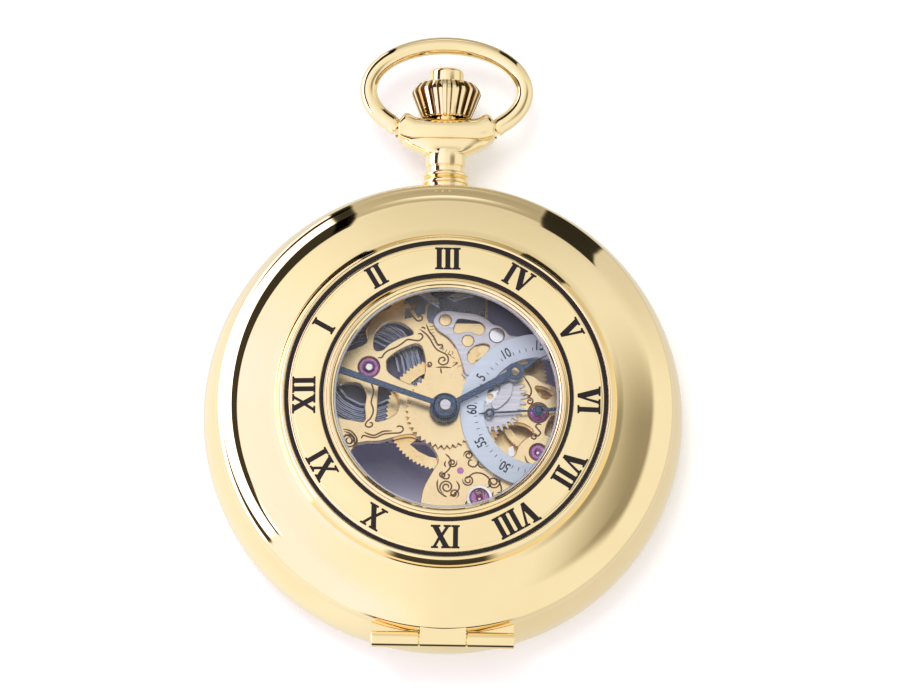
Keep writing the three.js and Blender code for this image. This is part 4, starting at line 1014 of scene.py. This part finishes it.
def barrel_pieces():
    """Thin raised rings on the barrel's lid."""
    top = levels("barrel")[1]
    low, high, half = top - 0.04, top + 0.03, 0.045
    rings = []
    for k in range(8):
        radius = 4.1 + 0.2 * k
        profile = [(radius - half, low), (radius + half, low), (radius + half, high), (radius - half, high)]
        rings.append(turned(profile, 120, BARREL))
    finish_piece(merged("barrel_rings", rings), SPRING_STEEL, "mainspring_barrel", sharp=40)


CAD_FINISHES = (
    (CASE_GOLD, ["hinge_pin"]),
    (PLATE_GOLD, ["train_bridge", "balance_cock", "pallet_bridge", "hour_wheel"]),
    (WHEEL_BRASS, ["setting_wheel", "centre_wheel", "third_wheel", "fourth_wheel", "balance_wheel"]),
    (STEEL, ["winding_stem", "winding_pinion", "sliding_pinion", "setting_lever", "yoke", "crown_wheel",
             "ratchet_wheel", "barrel_arbor", "cannon_pinion"]),
    (BRIGHT_STEEL, ["lid_catch", "click", "escape_wheel", "pallet_fork", "case_screw_1", "case_screw_2"]),
    (SPRING_STEEL, ["lock_spring", "lift_spring", "click_spring", "mainspring", "hairspring"]),
    # The barrel in dark violet steel: painted shade.
    (PAINTED_SHADE_STEEL, ["barrel"]),
)


def repaint():
    """The carried-over CAD nodes keep their shape and take these finishes."""
    for finish, names in CAD_FINISHES:
        for name in names:
            materials = NODES[name].data.materials
            materials.clear()
            materials.append(finish)


# ---------------------------------------------------------------- the model
case_pieces()
lid_pieces()
numerals()
pendant_pieces()
bow_piece()
crown_pieces()
seconds_dial()
hands()
skeleton_plate()
steel_cover()
jewels()
minute_wheel()
barrel_pieces()
repaint()


# ---------------------------------------------------------------- floor, light and camera
def panel(name, location, target, size, power):
    """A square soft light, hidden from reflections."""
    light = bpy.data.lights.new(name, "AREA")
    light.shape = "RECTANGLE"
    light.size = size
    light.size_y = size
    light.energy = power
    obj = bpy.data.objects.new(name, light)
    obj.location = location
    obj.rotation_euler = (Vector(target) - Vector(location)).to_track_quat("-Z", "Y").to_euler()
    obj.visible_glossy = False
    bpy.context.scene.collection.objects.link(obj)


def stage():
    mesh = bpy.data.meshes.new("floor")
    half = 1.5
    mesh.from_pydata([(-half, -half, 0), (half, -half, 0), (half, half, 0), (-half, half, 0)], [],
                     [(0, 1, 2, 3)])
    floor = bpy.data.objects.new("floor", mesh)
    floor.location.z = -0.0001
    bpy.context.scene.collection.objects.link(floor)
    material, _, _, shader = new_material("floor")
    shader.inputs["Base Color"].default_value = (0.93, 0.93, 0.93, 1)
    shader.inputs["Roughness"].default_value = 0.9
    shader.inputs["Emission Color"].default_value = (1, 1, 1, 1)
    shader.inputs["Emission Strength"].default_value = 0.22
    floor.data.materials.append(material)
    floor.visible_glossy = False
    bpy.context.scene.world = studio_world()


class Field:
    """A number that varies over the sky, built from math nodes."""

    def __init__(self, tree, output):
        self.tree = tree
        self.output = output

    def math(self, operation, other=None):
        node = self.tree.nodes.new("ShaderNodeMath")
        node.operation = operation
        self.tree.links.new(self.output, node.inputs[0])
        if isinstance(other, Field):
            self.tree.links.new(other.output, node.inputs[1])
        elif other is not None:
            node.inputs[1].default_value = other
        return Field(self.tree, node.outputs[0])

    def step(self, start, end, low_value=0.0, high_value=1.0):
        """A smooth step between two values."""
        node = self.tree.nodes.new("ShaderNodeMapRange")
        node.interpolation_type = "SMOOTHSTEP"
        for name, value in (("From Min", start), ("From Max", end), ("To Min", low_value),
                            ("To Max", high_value)):
            node.inputs[name].default_value = value
        self.tree.links.new(self.output, node.inputs["Value"])
        return Field(self.tree, node.outputs["Result"])

    def band(self, start, end, soft):
        return self.step(start - soft, start + soft).math("MULTIPLY", self.step(end - soft, end + soft, 1.0,
                                                                                0.0))

    def scaled(self, mask, level):
        """This number, multiplied by the level where the mask is one."""
        return self.math("MULTIPLY", mask.math("MULTIPLY", level - 1.0).math("ADD", 1.0))


def studio_world():
    """A white tent with narrow black gaps between its panels; tilt is measured from straight up."""
    world = bpy.data.worlds.new("studio")
    world.use_nodes = True
    tree = world.node_tree
    split = tree.nodes.new("ShaderNodeSeparateXYZ")
    tree.links.new(tree.nodes.new("ShaderNodeTexCoord").outputs["Generated"], split.inputs[0])
    x, y, z = (Field(tree, split.outputs[i]) for i in range(3))
    degree = 180 / math.pi
    tilt = z.math("ARCCOSINE").math("MULTIPLY", degree)
    left_turn = y.math("ARCTAN2", x.math("MULTIPLY", -1.0)).math("MULTIPLY", degree)
    right_turn = y.math("ARCTAN2", x).math("MULTIPLY", degree)
    front_turn = x.math("ARCTAN2", y.math("MULTIPLY", -1.0)).math("MULTIPLY", degree)

    # The tent: brighter at the left, dimmer at the top and on the right.
    light = x.step(-0.5, 0.1, 1.3, 0.98)
    light = light.scaled(y.step(0.3, 0.75), 0.78)
    dull_side = x.step(0.22, 0.52).math("MULTIPLY", x.step(0.66, 0.84, 1.0, 0.0))
    light = light.scaled(dull_side.math("MULTIPLY", y.band(-0.3, 0.32, 0.16))
                         .math("MULTIPLY", tilt.step(50, 64, 1.0, 0.0)), 0.36)
    # The bright left panel, the horizon, the dark doorway in front and the lamp at the back.
    light = light.scaled(left_turn.band(-29, 67, 1.0).math("MULTIPLY", tilt.band(52, 98, 3)), 2.1)
    light = light.scaled(tilt.step(94, 106), 0.82)
    light = light.scaled(front_turn.band(-22, 22, 4).math("MULTIPLY", tilt.band(82, 118, 4)), 0.06)
    lamp = right_turn.band(80, 96, 12).math("MULTIPLY", tilt.band(74, 84, 8))
    back_panel = right_turn.band(68, 108, 1).math("MULTIPLY", tilt.band(62, 112, 2))
    light = light.scaled(back_panel, 0.62).scaled(lamp, 3.4)
    # Black gaps: a slanting one inside the left panel, and an upright one on either side of the back panel.
    far_edge = left_turn.step(20, 67, 70, 88).math("MAXIMUM", left_turn.step(-29, -8, 70.5, 70))
    near_edge = left_turn.step(-29, -6, 60, 49)
    short_of_far = tilt.math("SUBTRACT", far_edge).step(-0.8, 0.8, 1.0, 0.0)
    past_near = tilt.math("SUBTRACT", near_edge).step(-0.8, 0.8)
    slant = short_of_far.math("MULTIPLY", past_near)
    light = light.scaled(left_turn.band(-30, 72, 0.7).math("MULTIPLY", slant), 0.02)
    light = light.scaled(left_turn.band(67, 72, 0.5).math("MULTIPLY", tilt.band(53, 112, 1)), 0.04)
    light = light.scaled(right_turn.band(54, 68, 0.5).math("MULTIPLY", tilt.band(53, 112, 1)), 0.04)

    background = tree.nodes["Background"]
    warmth = tree.nodes.new("ShaderNodeMix")
    warmth.data_type = "RGBA"
    tree.links.new(light.step(0.1, 1.1).output, warmth.inputs["Factor"])
    warmth.inputs["A"].default_value = (1.0, 0.91, 0.72, 1)
    warmth.inputs["B"].default_value = (1.0, 0.985, 0.97, 1)
    blush = tree.nodes.new("ShaderNodeMix")
    blush.data_type = "RGBA"
    tree.links.new(light.step(1.05, 1.3).output, blush.inputs["Factor"])
    tree.links.new(warmth.outputs["Result"], blush.inputs["A"])
    blush.inputs["B"].default_value = (1.0, 0.87, 1.06, 1)
    tree.links.new(blush.outputs["Result"], background.inputs["Color"])
    tree.links.new(light.output, background.inputs["Strength"])
    return world


def look(target, azimuth, elevation, roll, distance, view_width):
    """A camera that frames view_width at the target, turned clockwise by roll degrees."""
    camera = bpy.data.cameras.new("camera")
    camera.sensor_width = 36
    camera.lens = 36 * distance / view_width
    camera.clip_start = 0.01
    camera.clip_end = 10
    obj = bpy.data.objects.new("camera", camera)
    a, e = math.radians(azimuth), math.radians(elevation)
    out = Vector((math.cos(e) * math.sin(a), -math.cos(e) * math.cos(a), math.sin(e)))
    obj.location = Vector(target) + out * distance
    facing = (-out).to_track_quat("-Z", "Y").to_matrix().to_4x4()
    obj.rotation_euler = (facing @ Matrix.Rotation(math.radians(roll), 4, "Z")).to_euler()
    bpy.context.scene.collection.objects.link(obj)
    bpy.context.scene.camera = obj


stage()
look((0.62 * MM, 7.16 * MM, 5 * MM), -8, 76.7, 8.75, 2.0, 93.95 * MM)
panel("key", (-0.3, 0.4, 1.2), (0, 0, 0), 0.6, 6)
bpy.context.scene.view_settings.view_transform = "Standard"
bpy.context.scene.cycles.transparent_max_bounces = 32
